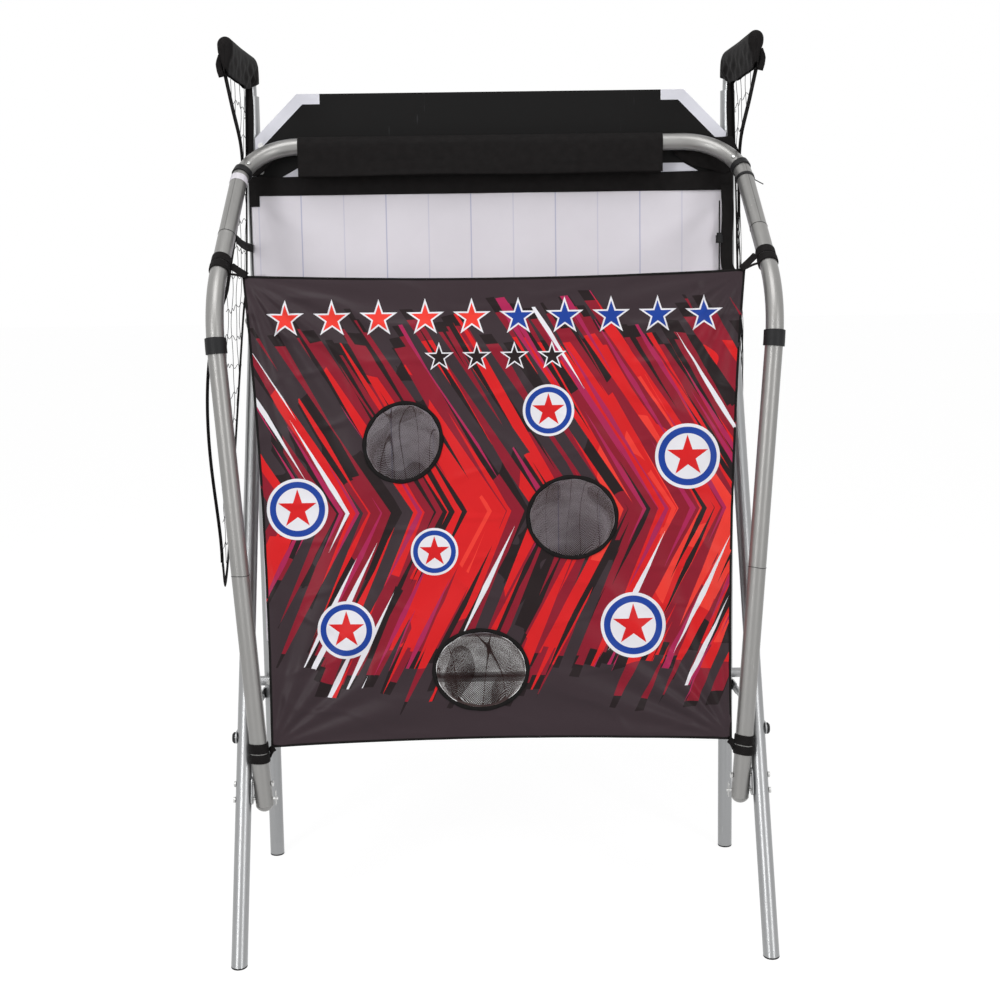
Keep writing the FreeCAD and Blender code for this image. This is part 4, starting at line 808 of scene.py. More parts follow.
def corner_folds(across, up):
    """Folds that fan out from the sheet's corners: waves of the angle round each corner that widen
    and then fade with distance, deepest at the upper left and lower right."""
    total = np.zeros_like(across)
    for x, y, strength, reach, rate, phase in (
        (-SHEET_HIGH_HALF, SHEET_TALL, 1.0, 0.26, 21.0, 0.6), (SHEET_HIGH_HALF, SHEET_TALL, 0.7, 0.20, 24.0, 1.9),
        (SHEET_LOW_HALF, 0.0, 1.0, 0.24, 23.0, 0.2), (-SHEET_LOW_HALF, 0.0, 0.9, 0.22, 20.0, 2.4),
    ):
        far = np.hypot(across - x, up - y)
        angle = np.arctan2(np.abs(up - y), np.abs(across - x))
        fold = np.sin(angle * rate + phase) + 0.5 * np.sin(angle * rate * 0.43 + 2.1 * phase)
        total += strength * fold * far * np.exp(-far / reach) * np.sin(2 * np.minimum(angle, 1.57)) ** 0.35
    return total * settings("cloth").sheet_fold


def sheet_surface(across, up):
    """Points of the sheet at places across and up it, with the corner folds, soft ripples from
    packing and the pull of the pockets."""
    bulge = corner_folds(across, up)
    bulge += 0.0032 * waves(across, up, 5, 9, 0.10, 0.34)
    ridge = waves(across * 0.5, up, 8, 5, 0.09, 0.22)
    bulge += 0.0022 * (np.exp(-(ridge / 0.12) ** 2) - 0.3)
    bulge += 0.0030 * np.sin((across * 0.35 + up) * 2 * math.pi / 0.62 + 0.8) * np.cos(across * 2.4)
    for x, y, wide, tall, turn in POCKETS.values():
        far = np.hypot((across - x) / wide, (up - y) / tall)
        near = np.exp(-((np.maximum(far, 1.0) - 1.0) / 0.7) ** 2)
        bulge = bulge * (1 - 0.75 * near) - 0.0022 * near
    edge_width = 0.06
    edge = np.minimum(np.minimum(up, SHEET_TALL - up), edge_width) / edge_width
    return on_sheet(across, up, bulge * (0.45 + 0.55 * limited(edge)))


def turned(x, y, degrees):
    """Places across and up the sheet turned about its lower middle."""
    angle = math.radians(degrees)
    return x * math.cos(angle) - y * math.sin(angle), x * math.sin(angle) + y * math.cos(angle)


def make_sheet():
    """The sheet: a grid whose sides and ends bow inwards, snapped to the rims of its three oval
    openings, whose inner cells are left out."""
    step = settings("cloth").sheet_step
    rows = int(SHEET_TALL / step) + 1
    columns = int(2 * SHEET_HIGH_HALF / step) + 1
    up_share, across_share = crossed(np.linspace(0, 1, rows), np.linspace(-1, 1, columns))
    half = SHEET_LOW_HALF + (SHEET_HIGH_HALF - SHEET_LOW_HALF) * up_share - EDGE_DRAW * 4 * up_share * (1 - up_share)
    across = across_share * half
    bow = EDGE_DRAW * (1 - across_share**2)
    up = bow + (SHEET_TALL - 2 * bow) * up_share
    keep = np.ones((rows - 1, columns - 1), dtype=bool)
    for x, y, wide, tall, turn in POCKETS.values():
        along, square = turned(across - x, up - y, -turn)
        far = np.hypot(along / wide, square / tall)
        near = np.abs(far - 1) * min(wide, tall) < 0.62 * step
        scale = np.where(near, 1 / np.maximum(far, 0.2), 1.0)
        across, up = x + (across - x) * scale, y + (up - y) * scale
        far = np.where(near, 1.0, far)
        keep &= (far[:-1, :-1] + far[1:, :-1] + far[1:, 1:] + far[:-1, 1:]) / 4 > 1.0001
    sheet = cloth(
        "target_sheet_cloth", "front_frame", "sheet_print", 0.0009, sheet_surface(across, up), (across, up),
        "target_sheet", keep=keep,
    )
    holes = sum(math.pi * wide * tall for x, y, wide, tall, turn in POCKETS.values())
    bows = 4 / 3 * EDGE_DRAW * (2 * SHEET_TALL + 1.95 * SHEET_HIGH_HALF)
    (SHEET_LOW_HALF + SHEET_HIGH_HALF) * SHEET_TALL - bows - holes
    make_hem()


def make_hem():
    """The sheet's dark bound edges: a flat band carried along each side of the outline."""
    share = np.linspace(0, 1, 60)
    bow = EDGE_DRAW * 4 * share * (1 - share)
    half = SHEET_LOW_HALF + (SHEET_HIGH_HALF - SHEET_LOW_HALF) * share - bow
    run, rise, inset = 2 * share - 1, share * SHEET_TALL, 0.0022
    sides = (
        (half - inset, rise, ALONG_X), (inset - half, rise, ALONG_X),
        (SHEET_HIGH_HALF * run, SHEET_TALL - bow - inset, SHEET_UP), (SHEET_LOW_HALF * run, bow + inset, SHEET_UP),
    )
    strips = [carried(sheet_surface(across, up), way, oblong(0.005, 0.0024)) for across, up, way in sides]
    return joined("sheet_hem", "front_frame", "black_polyester", strips)


def make_rims():
    """The pockets' bound rims: a flattened round profile carried round each oval, slightly puckered."""
    count, grow = 96, 0.0034
    angle = np.arange(count) * 2 * math.pi / count
    around = np.arange(12) * math.pi / 6
    wide_part = np.sign(np.cos(around)) * np.abs(np.cos(around)) ** 0.6 * 0.0042
    pucker = 1 + 0.10 * np.sin(angle * 12)
    maps = np.stack(crossed(np.arange(count) * 0.0055, around * 0.002), axis=-1).reshape(-1, 2)
    strips = []
    for x, y, wide, tall, turn in POCKETS.values():
        out_x, out_y = turned(np.cos(angle), np.sin(angle), turn)
        across, up = turned((wide + grow) * np.cos(angle), (tall + grow) * np.sin(angle), turn)
        line = sheet_surface(x + across, y + up) + SHEET_FRONT * 0.0016
        out = out_x[:, None] * ALONG_X + out_y[:, None] * SHEET_UP
        ring = out[:, None] * wide_part[:, None] + SHEET_FRONT * (np.sin(around) * 0.0022)[:, None]
        points = line[:, None] + ring * pucker[:, None, None]
        strips.append((points.reshape(-1, 3), grid_faces(count, len(around), True, True), maps))
    joined("pocket_bound_rims", "front_frame", "black_polyester", strips, "pocket_rims")


def make_bag(name):
    """One bag: the opening's oval drawn back, down and together along a curved line, with soft
    pleats that deepen towards its closed foot."""
    x, y, wide, tall, turn = POCKETS[name]
    rows, columns, behind = 44, 96, 0.0012
    share = np.linspace(0, 1, rows)
    depth, drop, size = (np.interp(share, np.linspace(0, 1, 5), knots) for knots in POCKET_RUN)
    for values in (depth, drop, size):
        values[1:-1] = (values[:-2] + 2 * values[1:-1] + values[2:]) / 4
    share, depth, drop, size = (values[:, None] for values in (share, depth, drop, size))
    angle = np.arange(columns) * 2 * math.pi / columns
    pleat = 1 - 0.07 * share**1.2 * (0.5 + 0.5 * np.sin(angle * 7 + 1.3 + 2.0 * share))
    pleat -= 0.025 * share * np.sin(angle * 17 + 0.7)
    reach = 0.985 * size * pleat * (1 - 0.98 * limited((share - 0.90) / 0.10) ** 2)
    across, up = turned(wide * np.cos(angle) * reach, tall * np.sin(angle) * reach, turn)
    points = on_sheet(x + across, y + up - drop, -(depth + behind))
    maps = np.stack([x + across, y + up - drop - depth], axis=-1)
    bag = mesh_object(name + "_bag", points, grid_faces(rows, columns, close_columns=True), maps)
    dressed(bag, "front_frame", "pocket_mesh", name)


# The rear cloth

def make_rear_cloth():
    """The rear cloth: a leaning grid with vertical folds that deepen downwards, soft creases and
    drag lines from its upper corners, notched where the leg joints stand."""
    folding = settings("cloth")
    (left, foot_y, foot), (right, head_y, head) = box("rear_cloth")
    height, across = crossed(np.linspace(foot, head, 150), np.linspace(left, right, 220))
    width, tall = right - left, head - foot
    share = (head - height) / tall
    amplitude = folding.cloth_fold_high + (folding.cloth_fold_low - folding.cloth_fold_high) * share
    folds = np.sin((across - left) * 2 * math.pi / (width / 4)) * amplitude
    crease = 0.0018 * waves(across, height, 21, 12, 0.06, 0.30)
    for corner_x, sign in ((left, 1), (right, -1)):
        dx, dy = (across - corner_x) * sign, head - height
        far = np.hypot(dx, dy)
        crease += 0.0022 * np.sin(np.arctan2(dy, dx) * 12 + 0.5) * np.exp(-far / 0.16) * limited(far / 0.03)
    edge = limited(np.minimum(across - left, right - across) / 0.02) * limited((head - 0.025 - height) / 0.05)
    foot_depth = foot_y + folding.cloth_fold_low
    head_depth = head_y - folding.cloth_fold_high - 0.0015
    depth = head_depth + (foot_depth - head_depth) * share - folds - crease * edge
    notch = (np.abs(across) > NOTCH_HALF) & (height > NOTCH_LOW) & (height < NOTCH_HIGH)
    keep = ~(notch[:-1, :-1] | notch[1:, :-1] | notch[1:, 1:] | notch[:-1, 1:])
    piece = cloth(
        "rear_cloth_sheet", "stand", "rear_polyester", 0.0008, np.stack([across, depth, height], axis=-1),
        (across, height), "rear_cloth", keep=keep,
    )
    make_binding()


def make_binding():
    """The black binding of the cloth's top edge: a leaning band with two end tabs, a little uneven."""
    (left, front, foot), (right, back, head) = box("cloth_binding")
    tab = 0.022
    height, across = crossed(np.linspace(foot, head, 26), np.linspace(left, right, 240))
    depth = front + 0.0012 + (height - foot) * math.tan(POLE_LEAN) + 0.0006 * waves(across, height, 33, 8, 0.05, 0.20)
    keep = (height[:-1, :-1] > foot + tab - 0.001) | (np.abs(across[:-1, :-1]) > right - tab)
    height = height + 0.0008 * np.sin(across * 31) * (height > head - 0.002)
    points = np.stack([across, depth, height], axis=-1)
    return cloth(
        "top_binding", "stand", "black_polyester", 0.0016, points, (across, height), "cloth_binding", keep=keep
    )


# Side nets

def net_point(side, depth, rise, out=0.0):
    """A place on a side net's leaning plane, from its depth behind the front feet and its rise."""
    up = np.array([-side * NET_LEAN, 0.0, 1.0]) / math.hypot(1.0, NET_LEAN)
    sideways = np.array([side, 0.0, NET_LEAN]) / math.hypot(1.0, NET_LEAN)
    origin = np.array([side * NET_LOW_HALF, FRONT_FEET, NET_FOOT])
    depth, rise, out = np.broadcast_arrays(depth, rise, out)
    return origin + depth[..., None] * ALONG_Y + rise[..., None] * up + out[..., None] * sideways


def inside(polygon, x, y):
    """True where a point is inside the polygon, by counting the edges that a ray crosses."""
    result = np.zeros(np.broadcast(x, y).shape, dtype=bool)
    for (x0, y0), (x1, y1) in zip(polygon, polygon[1:] + polygon[:1]):
        if y0 != y1:
            result ^= ((y0 > y) != (y1 > y)) & (x < (x1 - x0) * (y - y0) / (y1 - y0) + x0)
    return result


def net_runs(polygon, fixed, along_depth):
    """The stretches of one straight cord that lie inside the outline, each as evenly spaced places."""
    run = np.linspace(*(NET_DEPTHS if along_depth else NET_RISES), 700)
    hit = inside(polygon, run, fixed) if along_depth else inside(polygon, fixed, run)
    edges = np.flatnonzero(np.diff(np.concatenate([[False], hit, [False]]).astype(int)))
    shortest, spacing, fewest = 0.012, 0.006, 4
    for first, last in zip(edges[::2], edges[1::2] - 1):
        reach = run[last] - run[first]
        if reach > shortest:
            yield np.linspace(run[first], run[last], max(int(reach / spacing), fewest))


def make_net(name, side):
    """One side net: cords along a grid inside the outline, each sagging and wandering a little.
    The right net hangs in a bunch of wavy cords below its gathered height."""
    sizes = settings("cloth")
    cell, first_depth, first_rise = sizes.net_cell, 0.212, -0.012
    polygon = NET_FRONT[side] + NET_REAR[side]
    gathered = NET_GATHERED_TOP if side > 0 else 0.0
    rng = np.random.default_rng(40 + side)
    paths = []
    for number in range(1, NET_LAST_ROW + 1):
        rise = number * cell + first_rise
        for run in net_runs(polygon, rise, True):
            sag = -0.0085 * np.sin(math.pi * (run - first_depth) / cell) ** 2
            wander = 0.005 * np.sin(run * 21 + rng.uniform(0, 6))
            out = 0.0022 * np.sin(run * 33 + rng.uniform(0, 6))
            if rise > gathered:
                paths.append(net_point(side, run, rise + sag + wander, out))
    for number in range(NET_COLUMNS):
        depth = first_depth + number * cell
        for run in net_runs(polygon, depth, False):
            sway = 0.0065 * np.sin(math.pi * (run - first_rise) / cell) * (-1) ** number
            wander = 0.006 * np.sin(run * 9 + rng.uniform(0, 6))
            out = 0.0022 * np.sin(run * 27 + rng.uniform(0, 6))
            paths.append(net_point(side, depth + sway + wander, run, out))
    for number in range(NET_BUNCH if side > 0 else 0):
        run = np.linspace(0.045, NET_GATHERED_TOP + rng.uniform(0.0, 0.06), 110)
        spread = 0.5 + 0.5 * run / NET_GATHERED_TOP
        place = rng.uniform(0.1, 0.9) + 0.20 * np.sin(run * rng.uniform(8, 16) + rng.uniform(0, 6))
        depth = 0.562 + 0.028 * np.clip(place, 0.02, 0.98) * spread + 0.010 * run / NET_GATHERED_TOP
        out = 0.004 * np.sin(run * rng.uniform(10, 22) + rng.uniform(0, 6))
        paths.append(net_point(side, depth, run, out))
    strips = [carried(path, ALONG_X, circle(sizes.net_cord / 2, 5)) for path in paths]
    joined(name + "_net_cords", "stand", "twisted_cord", strips, name + "_side_net")


def edge_band(side, corners, count, width, out=0.0, tilt=0.35):
    """A strap laid along a line of the net's plane, its width square to the line."""
    path = smooth_path(corners, count)
    way = np.gradient(path, axis=0)
    across = way[:, 1:] * ALONG_Y - way[:, :1] * UP + tilt * side * ALONG_X * np.linalg.norm(way, axis=1, keepdims=True)
    return carried(net_point(side, path[:, 0], path[:, 1], out), across, oblong(width, 0.0020))


def make_net_edges(name, side):
    """The tape that binds the net's rear and lower edge, and the strap along its front edge, which
    is taut above the frame's corner and slack below it on the spread net."""
    rear = NET_REAR[side][::-1] + ((NET_FRONT[side][-1],) if side < 0 else ())
    tape = edge_band(side, rear, 120, 0.020 if side < 0 else 0.016, tilt=0.0)
    joined(name + "_net_binding", "stand", "webbing", [tape])
    front = NET_FRONT[side]
    tab = ((0.2935, 1.020), (0.2935, 0.9995), (0.2935, 0.979))
    tab_curl = np.array([0.001, 0.003, 0.005, 0.006, 0.005, 0.004, 0.002, 0.0])
    lower, slack = (front[2], front[3]), 0.0
    if side < 0:
        lower = (front[2], (0.455, 0.690), front[3], front[4], (0.256, 0.240), front[5])
        slack = 0.030 * np.sin(math.pi * limited((np.linspace(0, 1, 110) - 0.45) / 0.55)) ** 1.5
    strips = [
        edge_band(side, (front[0], (0.415, 0.936), front[1], front[2]), 60, 0.013),
        edge_band(side, tab, len(tab_curl), 0.012, tab_curl, 2.0),
        edge_band(side, lower, 110 if side < 0 else 20, 0.012, slack),
    ]
    joined(name + "_front_strap", "stand", "webbing", strips, name + "_net_strap")


def make_patch(name, side):
    """The net's cloth behind the bend of the top bar: a band whose two edges follow the bend, with
    soft folds, and higher on the gathered side."""
    u, v = crossed(np.linspace(0, 1, 48), np.linspace(0, 1, 20))
    x = PATCH_START + PATCH_WIDE * u
    top = np.interp(x, *PATCH_TOP)
    top += (side > 0) * 0.020 * limited((x - 0.425) / 0.03) * limited((0.548 - x) / 0.02)
    foot = np.interp(x, *PATCH_FOOT[side])
    z = top + (foot - top) * v + 0.0015 * np.sin(x * 60)
    y = BAR_CORNER[1] + 0.0215 + 0.0016 * np.sin(u * 11 + v * 5) + 0.0012 * np.sin(u * 23 - v * 9)
    cloth(name + "_net_corner", "stand", "black_polyester", 0.0012, np.stack([side * x, y, z], axis=-1), (x, z))


def make_headers(name, side):
    """The net's gathered rear edge: a black band in front of the pole between hood and bar, which
    on the gathered side goes on below the bar, in front of the cloth's edge."""
    run = np.linspace(0, 1, 40)
    strips = []
    for x, top, foot, y, width in POLE_BANDS if side > 0 else POLE_BANDS[:1]:
        height = top + (foot - top) * run
        x = x + 0.0015 * np.sin(height * 40) + 0.028 * limited((1.345 - height) / 0.05) ** 1.5
        line = x[:, None] * ALONG_X * side + height[:, None] * UP
        line += (y + (height - 1.6) * 0.036 + 0.0012 * np.sin(height * 55))[:, None] * ALONG_Y
        strips.append(carried(line, ALONG_X + 0.15 * ALONG_Y, oblong(width, 0.0030)))
    joined(name + "_net_header", "stand", "black_polyester", strips)


# Hoods, sleeve and straps

def drape_profile(columns, arch):
    """A drape's profile from one hem over the top to the other: its places, the angle over the
    round part, which is the arch's share of each side, and the share of the side that hangs."""
    around = np.linspace(-1, 1, columns)[None, :]
    return around, limited(np.abs(around) / arch) * math.pi / 2, limited((np.abs(around) - arch) / (1 - arch))


def make_hood(name, side):
    """One hood: a drop-shaped section, round over the arm and drawn together below it, carried from
    the arm's tip along it and over its bend, rounded shut at the tip and crossed by slanting folds."""
    (left, front, foot), (right, back, head) = box(name + "_arm_hood")
    bend, bend_start, start = 0.055, box(name + "_net_arm")[1][1] - 0.075, front - 0.0030
    straight = bend_start - start
    run = np.linspace(0, straight + bend * 1.25, 96)[:, None]
    turn = np.maximum((run - straight) / bend, 0)
    centre_y = start + np.minimum(run, straight) + bend * np.sin(turn)
    centre_z = head - 0.016 - bend * (1 - np.cos(turn))
    around, angle, down = drape_profile(61, 0.40)
    inner = limited(-np.sign(around) * side)
    rear = limited((run - 0.55 * straight) / (0.45 * straight))
    radius = 0.0150 + 0.0055 * rear * inner - 0.004 * limited(turn - 0.5)
    tip = np.sqrt(1 - (1 - limited(run / 0.012)) ** 2)
    hang = 0.056 - 0.010 * limited(turn) + 0.0025 * np.sin(run * 62 + side) * rear
    hang = hang * (0.80 + 0.20 * limited(run / 0.016))
    fold = 0.0030 * np.sin(run * 75 + down * 5.5 + side) + 0.0018 * np.sin(run * 140 - down * 8 + 1.0)
    wide = radius * (1 - 0.80 * down**1.4) + fold * np.sin(math.pi * limited(down * 0.9)) * (0.4 + 0.6 * rear)
    x = (left + right) / 2 + np.sign(around) * np.maximum(wide, 0.002) * np.sin(angle) * tip
    lift = 0.0155 * np.cos(angle) * tip - hang * down
    points = np.stack([x, centre_y + lift * np.sin(turn), centre_z + lift * np.cos(turn)], axis=-1)
    maps = crossed(run[:, 0], np.linspace(-0.085, 0.085, around.size))
    hood = cloth(name + "_hood_cloth", "stand", "black_polyester", 0.0010, points, maps, name + "_arm_hood")
    name + "_net_arm"


def make_sleeve():
    """The sleeve over the top bar: a half round over the bar with two sides that hang, slightly
    rippled and uneven at the hem."""
    (left, front, foot), (right, back, head) = box("bar_sleeve")
    radius, bar_z = 0.0192, head - 0.0202
    across = np.linspace(left, right, 200)[:, None]
    around, angle, down = drape_profile(57, 0.34)
    on_front = (around < 0).astype(float)
    hang = bar_z - foot - 0.0015 + 0.0012 * np.sin(across * 14) * on_front
    ripple = (0.0010 * waves(across, down, 61, 8, 0.09, 0.4) + 0.0016 * np.sin(across * 9 + 2 * down) * on_front) * down
    y = (front + back) / 2 + np.sign(around) * (radius * np.sin(angle) - 0.0010 * down + ripple)
    z = bar_z + radius * np.cos(angle) - hang * down
    points = np.stack(np.broadcast_arrays(across, y, z), axis=-1)
    maps = crossed(across[:, 0], np.linspace(-0.10, 0.10, around.size))
    sleeve = cloth("sleeve_cloth", "front_frame", "black_polyester", 0.0010, points, maps, "bar_sleeve")


def side_route(side, distance):
    """A place on the front frame's side tube at a distance from its low end, and its heading.

    The tube runs straight through the pivot to the elbow, which is an arc, and straight on.
    """
    turn = math.acos(float(UPRIGHT @ RAIL))
    cut = ELBOW_BEND * math.tan(turn / 2)
    straight = TUBE_TAIL + float(np.linalg.norm(ELBOW - PIVOT)) - cut
    angle = (distance - straight) / ELBOW_BEND
    if angle <= 0:
        place, heading = PIVOT + UPRIGHT * (distance - TUBE_TAIL), UPRIGHT
    elif angle < turn:
        normal = (RAIL - UPRIGHT * float(UPRIGHT @ RAIL)) / math.sin(turn)
        place = ELBOW - UPRIGHT * cut + ELBOW_BEND * (UPRIGHT * math.sin(angle) + normal * (1 - math.cos(angle)))
        heading = UPRIGHT * math.cos(angle) + normal * math.sin(angle)
    else:
        place, heading = ELBOW + RAIL * (cut + distance - straight - ELBOW_BEND * turn), RAIL
    mirror = np.array([side, 1, 1])
    return place * mirror, heading * mirror


def square_to(heading, toward):
    """The direction square to a heading that leans most toward another."""
    square = toward - heading * float(toward @ heading)
    return square / np.linalg.norm(square)


def tube_ring(side, distance, width, thickness, toward=ALONG_X):
    """A band once round the side tube: its points, quads and map."""
    place, heading = side_route(side, distance)
    square = square_to(heading, toward)
    other = np.cross(heading, square)
    angle = np.linspace(0, 2 * math.pi, 49)[:, None]
    reach = FRAME_RADIUS + thickness / 2
    loop = place + (square * np.cos(angle) + other * np.sin(angle)) * reach + heading * 0.0008 * np.sin(2 * angle)
    return carried(loop, heading, oblong(width, thickness))


def make_straps(level, distance, half, rise, tails):
    """The webbing at two of the sheet's corners: loops round the tubes, and tails that run on from
    them along a smooth line to the corners."""
    strips = []
    for _, side in SIDES:
        place, heading = side_route(side, distance)
        corner = SHEET_LOW + ALONG_X * side * (half - 0.006) + SHEET_UP * rise
        toward = corner - place
        square = square_to(heading, toward)
        start = place + square * (FRAME_RADIUS + 0.002)
        other = np.cross(heading, square)
        goal = corner + SHEET_FRONT * 0.004
        for offset, width, thickness in STRAP_LOOPS:
            strips.append(tube_ring(side, distance + offset, width, thickness, toward))
        for offset, end, width in tails:
            line = [
                start + heading * offset + other * 0.005,
                start * 0.6 + goal * 0.4 + heading * offset * 0.6 + other * 0.003,
                goal + heading * end,
                goal + (goal - start) * 0.08 + heading * end,
            ]
            strips.append(carried(smooth_path(line, 24), heading, oblong(width, 0.0018)))
    joined(level + "_corner_webbing", "front_frame", "webbing", strips, level + "_sheet_straps")


def make_drawcord():
    """The drawcord from its loop at the cloth's top to its knot at the foot, with a little slack."""
    low, high = box("drawcord")
    radius = 0.0016
    x = (low[0] + high[0]) / 2
    top = np.array([x, high[1] - radius, high[2]])
    foot = np.array([x, low[1] + radius, low[2]])
    curve = bpy.data.curves.new("drawcord_line", "CURVE")
    curve.dimensions = "3D"
    curve.bevel_depth = radius
    curve.bevel_resolution = 3
    curve.use_fill_caps = True
    spline = curve.splines.new("NURBS")
    places = ((0.0, 0.0), (0.2, 0.0), (0.4, 0.0), (0.6, 0.0), (0.78, 0.0), (0.86, 0.009), (0.94, 0.0), (1.0, 0.0))
    spline.points.add(len(places) - 1)
    for point, (share, aside) in zip(spline.points, places):
        point.co = (*(top + (foot - top) * share + ALONG_X * aside), 1.0)
    spline.order_u = 3
    spline.use_endpoint_u = True
    spline.resolution_u = 8
    cord = dressed(placed("drawcord_line", curve), "stand", "drawcord_braid", "drawcord")


def make_edge_strap():
    """The flat strap from the cloth's left edge forward to the net, sagging a little."""
    low, high = box("cloth_strap")
    rear = np.array([high[0] - 0.001, high[1], low[2] + 0.010])
    front = np.array([low[0] + 0.001, low[1], high[2] - 0.010])
    path = smooth_path([front, (front + rear) / 2 - np.array([0.002, 0, 0.003]), rear], 40)
    strap = carried(path, 0.05 * ALONG_X + UP, oblong(0.018, 0.0018))
    joined("edge_strap", "stand", "webbing", [strap], "cloth_strap")


# The studio

def make_camera(scene):
    """The photograph's camera: a 54 mm lens 2.76 m in front of the front feet, 1.37 m up."""
    camera_data = bpy.data.cameras.new("photo_camera")
    camera_data.lens = 54.0
    camera_data.sensor_width = 36.0
    camera = placed("photo_camera", camera_data)
    pitch, yaw, roll = (math.radians(value) for value in (9.20, 0.696, -0.822))
    ahead = Vector((math.sin(yaw) * math.cos(pitch), math.cos(yaw) * math.cos(pitch), -math.sin(pitch)))
    level = Vector((math.cos(yaw), -math.sin(yaw), 0.0))
    upward = level.cross(ahead)
    right = level * math.cos(roll) + upward * math.sin(roll)
    up = upward * math.cos(roll) - level * math.sin(roll)
    place = Vector((-0.0323, FRONT_FEET - 2.763, 1.366))
    camera.matrix_world = Matrix(((*right, 0), (*up, 0), (*-ahead, 0), (*place, 1))).transposed()
    scene.camera = camera


def rays_seen(n):
    """1 for rays of the camera, of gloss and through mesh, and 0 for the light's other ways."""
    path = n.add("ShaderNodeLightPath")
    camera, gloss, through = (Value(n, path.outputs[f"Is {kind} Ray"]) for kind in ("Camera", "Glossy", "Transmission"))
    return camera.math("MAXIMUM", gloss).math("MAXIMUM", through)


def make_floor():
    """A pale floor that shows as white to the camera, to gloss and through mesh, and keeps shadows."""
    reach, below, glow_share, white_level = 30, 0.0005, 0.72, 1.23
    corners = np.array([[-reach, -reach, 0], [reach, -reach, 0], [reach, reach, 0], [-reach, reach, 0]]) - UP * below
    floor = mesh_object("studio_floor", corners, [[0, 1, 2, 3]])
    n = new_material("studio_floor", Roughness=0.9, Specular_IOR_Level=0.1, Base_Color=(0.82, 0.82, 0.82))
    glow = n.value(0, "ShaderNodeEmission", Color=(1.0, 1.0, 1.0), Strength=white_level)
    blend = n.value(0, "ShaderNodeMixShader", None, rays_seen(n) * glow_share, Value(n, n.shader.outputs[0]), glow)
    n.put(n.tree.nodes["Material Output"], "Surface", blend)
    floor.data.materials.append(n.material)


def make_lights(scene):
    """A tall softbox in front at each side, a wide one overhead, and a pale world."""
    world_light = 0.43
    world = bpy.data.worlds.new("studio_world")
    scene.world = world
    world.use_nodes = True
    n = Nodes(world.node_tree)
    backdrop = world.node_tree.nodes["Background"]
    n.put(backdrop, "Color", (1.0, 1.0, 1.0))
    n.put(backdrop, "Strength", rays_seen(n) * (1 - world_light) + world_light)
    for name, place, size, power in (
        ("left_softbox", (-2.2, -3.4, 2.2), (0.9, 2.4), 50.0), ("right_softbox", (2.4, -3.2, 2.0), (0.9, 2.4), 34.0),
        ("top_softbox", (-0.3, -1.6, 4.2), (2.2, 2.0), 52.0),
    ):
        lamp = bpy.data.lights.new(name, "AREA")
        lamp.shape = "RECTANGLE"
        lamp.size, lamp.size_y = size
        lamp.energy = power
        light = placed(name, lamp)
        light.location = place
        light.rotation_euler = (Vector((0.0, 0.0, 0.9)) - Vector(place)).to_track_quat("-Z", "Y").to_euler()


# Operators, the sidebar and the run

class TARGETNET_OT_stage(bpy.types.Operator):
    """Make the photograph's camera, the pale floor and the soft studio light"""

    bl_idname = "target_net.stage"
    bl_label = "Studio"

    def execute(self, context):
        context.scene.view_settings.view_transform = "Standard"
        make_camera(context.scene)
        make_floor()
        make_lights(context.scene)
        return {"FINISHED"}


class TARGETNET_OT_cords(bpy.types.Operator):
    """Make the drawcord at the cloth's right edge and the strap at its left one"""

    bl_idname = "target_net.cords"
    bl_label = "Drawcord and Strap"

    def execute(self, context):
        make_drawcord()
        make_edge_strap()
        return {"FINISHED"}


class TARGETNET_OT_steelwork(bpy.types.Operator):
    """Finish the tubes, bolts, collars, knobs, feet and backboard"""

    bl_idname = "target_net.steelwork"
    bl_label = "Steelwork Finishes"

    def execute(self, context):
        for finish, names in NODE_FINISHES.items():
            for name in names.split():
                for node in [name] if name in NODES else ["left_" + name, "right_" + name]:
                    slots = NODES[node].data.materials
                    slots.clear()
                    slots.append(material(finish))
        return {"FINISHED"}


class TARGETNET_OT_target_sheet(bpy.types.Operator):
    """Make the printed sheet with its openings, folds and bound edges"""

    bl_idname = "target_net.target_sheet"
    bl_label = "Target Sheet"

    def execute(self, context):
        make_sheet()
        return {"FINISHED"}


class TARGETNET_OT_pockets(bpy.types.Operator):
    """Make the three mesh bags and their bound rims"""

    bl_idname = "target_net.pockets"
    bl_label = "Pockets"

    def execute(self, context):
        make_rims()
        for name in POCKETS:
            make_bag(name)
        return {"FINISHED"}


class TARGETNET_OT_rear_cloth(bpy.types.Operator):
    """Hang the rear cloth with its bound top edge"""

    bl_idname = "target_net.rear_cloth"
    bl_label = "Rear Cloth"

    def execute(self, context):
        make_rear_cloth()
        return {"FINISHED"}


class TARGETNET_OT_side_nets(bpy.types.Operator):
    """Knit both side nets with their taped edges, straps and cloth corners"""

    bl_idname = "target_net.side_nets"
    bl_label = "Side Nets"

    def execute(self, context):
        for name, side in SIDES:
            make_net(name, side)
            make_net_edges(name, side)
            make_patch(name, side)
            make_headers(name, side)
        return {"FINISHED"}


class TARGETNET_OT_hoods(bpy.types.Operator):
    """Drape the black hoods over the net arms"""

    bl_idname = "target_net.hoods"
    bl_label = "Arm Hoods"

    def execute(self, context):
        for name, side in SIDES:
            make_hood(name, side)
        return {"FINISHED"}


class TARGETNET_OT_bar_sleeve(bpy.types.Operator):
    """Make the fabric sleeve over the top bar"""

    bl_idname = "target_net.bar_sleeve"
    bl_label = "Bar Sleeve"

    def execute(self, context):
        make_sleeve()
        return {"FINISHED"}


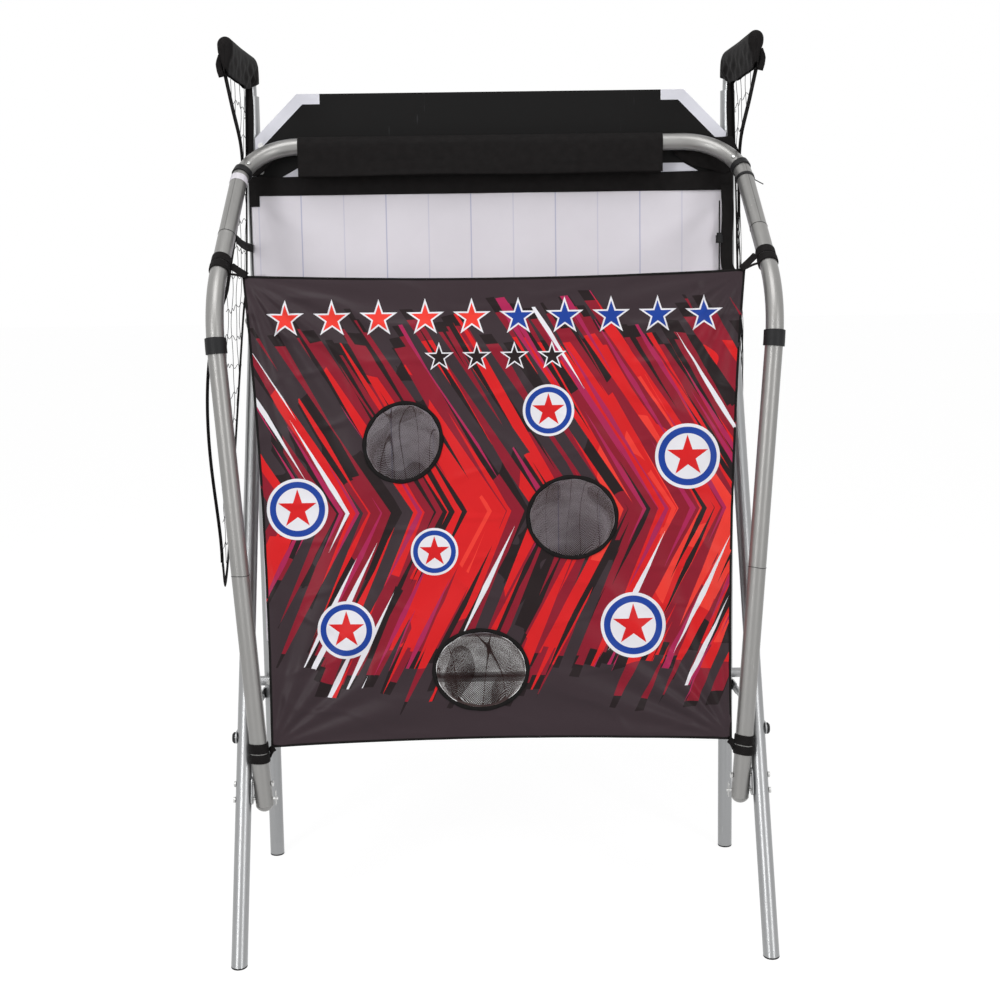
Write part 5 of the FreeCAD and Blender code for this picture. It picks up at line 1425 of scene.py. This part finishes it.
class TARGETNET_OT_sheet_straps(bpy.types.Operator):
    """Make the webbing at the sheet's corners, dark rings of painted shadow at the tubes' joints and the left rail's
    tape
    """

    bl_idname = "target_net.sheet_straps"
    bl_label = "Sheet Straps and Tube Marks"

    def execute(self, context):
        for level, places in SHEET_STRAPS.items():
            make_straps(level, *places)
        # Thin dark rings at the joints of the side tubes: painted shadow in the joint where the tube ends meet
        seam_shadows = [tube_ring(side, distance, 0.0012, 0.0006) for _, side in SIDES for distance in TUBE_SEAMS]
        joined("tube_seams", "front_frame", "moulded_plastic", seam_shadows)
        joined("left_rail_tape", "front_frame", "rear_polyester", [tube_ring(-1, RAIL_TAPE, 0.018, 0.0008)])
        return {"FINISHED"}


class TARGETNET_PT_sidebar(bpy.types.Panel):
    """Lists the steps that dress the target net"""

    bl_idname = "TARGETNET_PT_sidebar"
    bl_label = "Target Net"
    bl_space_type = "VIEW_3D"
    bl_region_type = "UI"
    bl_category = "Target Net"

    def draw(self, context):
        for step in STEPS:
            self.layout.operator(step.bl_idname)


STEPS = (
    TARGETNET_OT_stage, TARGETNET_OT_cords, TARGETNET_OT_steelwork, TARGETNET_OT_target_sheet, TARGETNET_OT_pockets,
    TARGETNET_OT_rear_cloth, TARGETNET_OT_side_nets, TARGETNET_OT_hoods, TARGETNET_OT_bar_sleeve,
    TARGETNET_OT_sheet_straps,
)
GROUPS = {"finish": TargetNetFinish, "print": TargetNetPrint, "cloth": TargetNetCloth}


def register():
    for group in GROUPS.values():
        bpy.utils.register_class(group)
    for label, group in GROUPS.items():
        setattr(bpy.types.Scene, "target_net_" + label, bpy.props.PointerProperty(type=group))
    for step in STEPS + (TARGETNET_PT_sidebar,):
        bpy.utils.register_class(step)


def unregister():
    for step in (TARGETNET_PT_sidebar,) + STEPS[::-1]:
        bpy.utils.unregister_class(step)
    for label, group in GROUPS.items():
        delattr(bpy.types.Scene, "target_net_" + label)
        bpy.utils.unregister_class(group)


def main():
    register()
    for step in STEPS:
        module, name = step.bl_idname.split(".")
        getattr(getattr(bpy.ops, module), name)()
    bpy.context.view_layer.update()


if __name__ == "__main__":
    main()
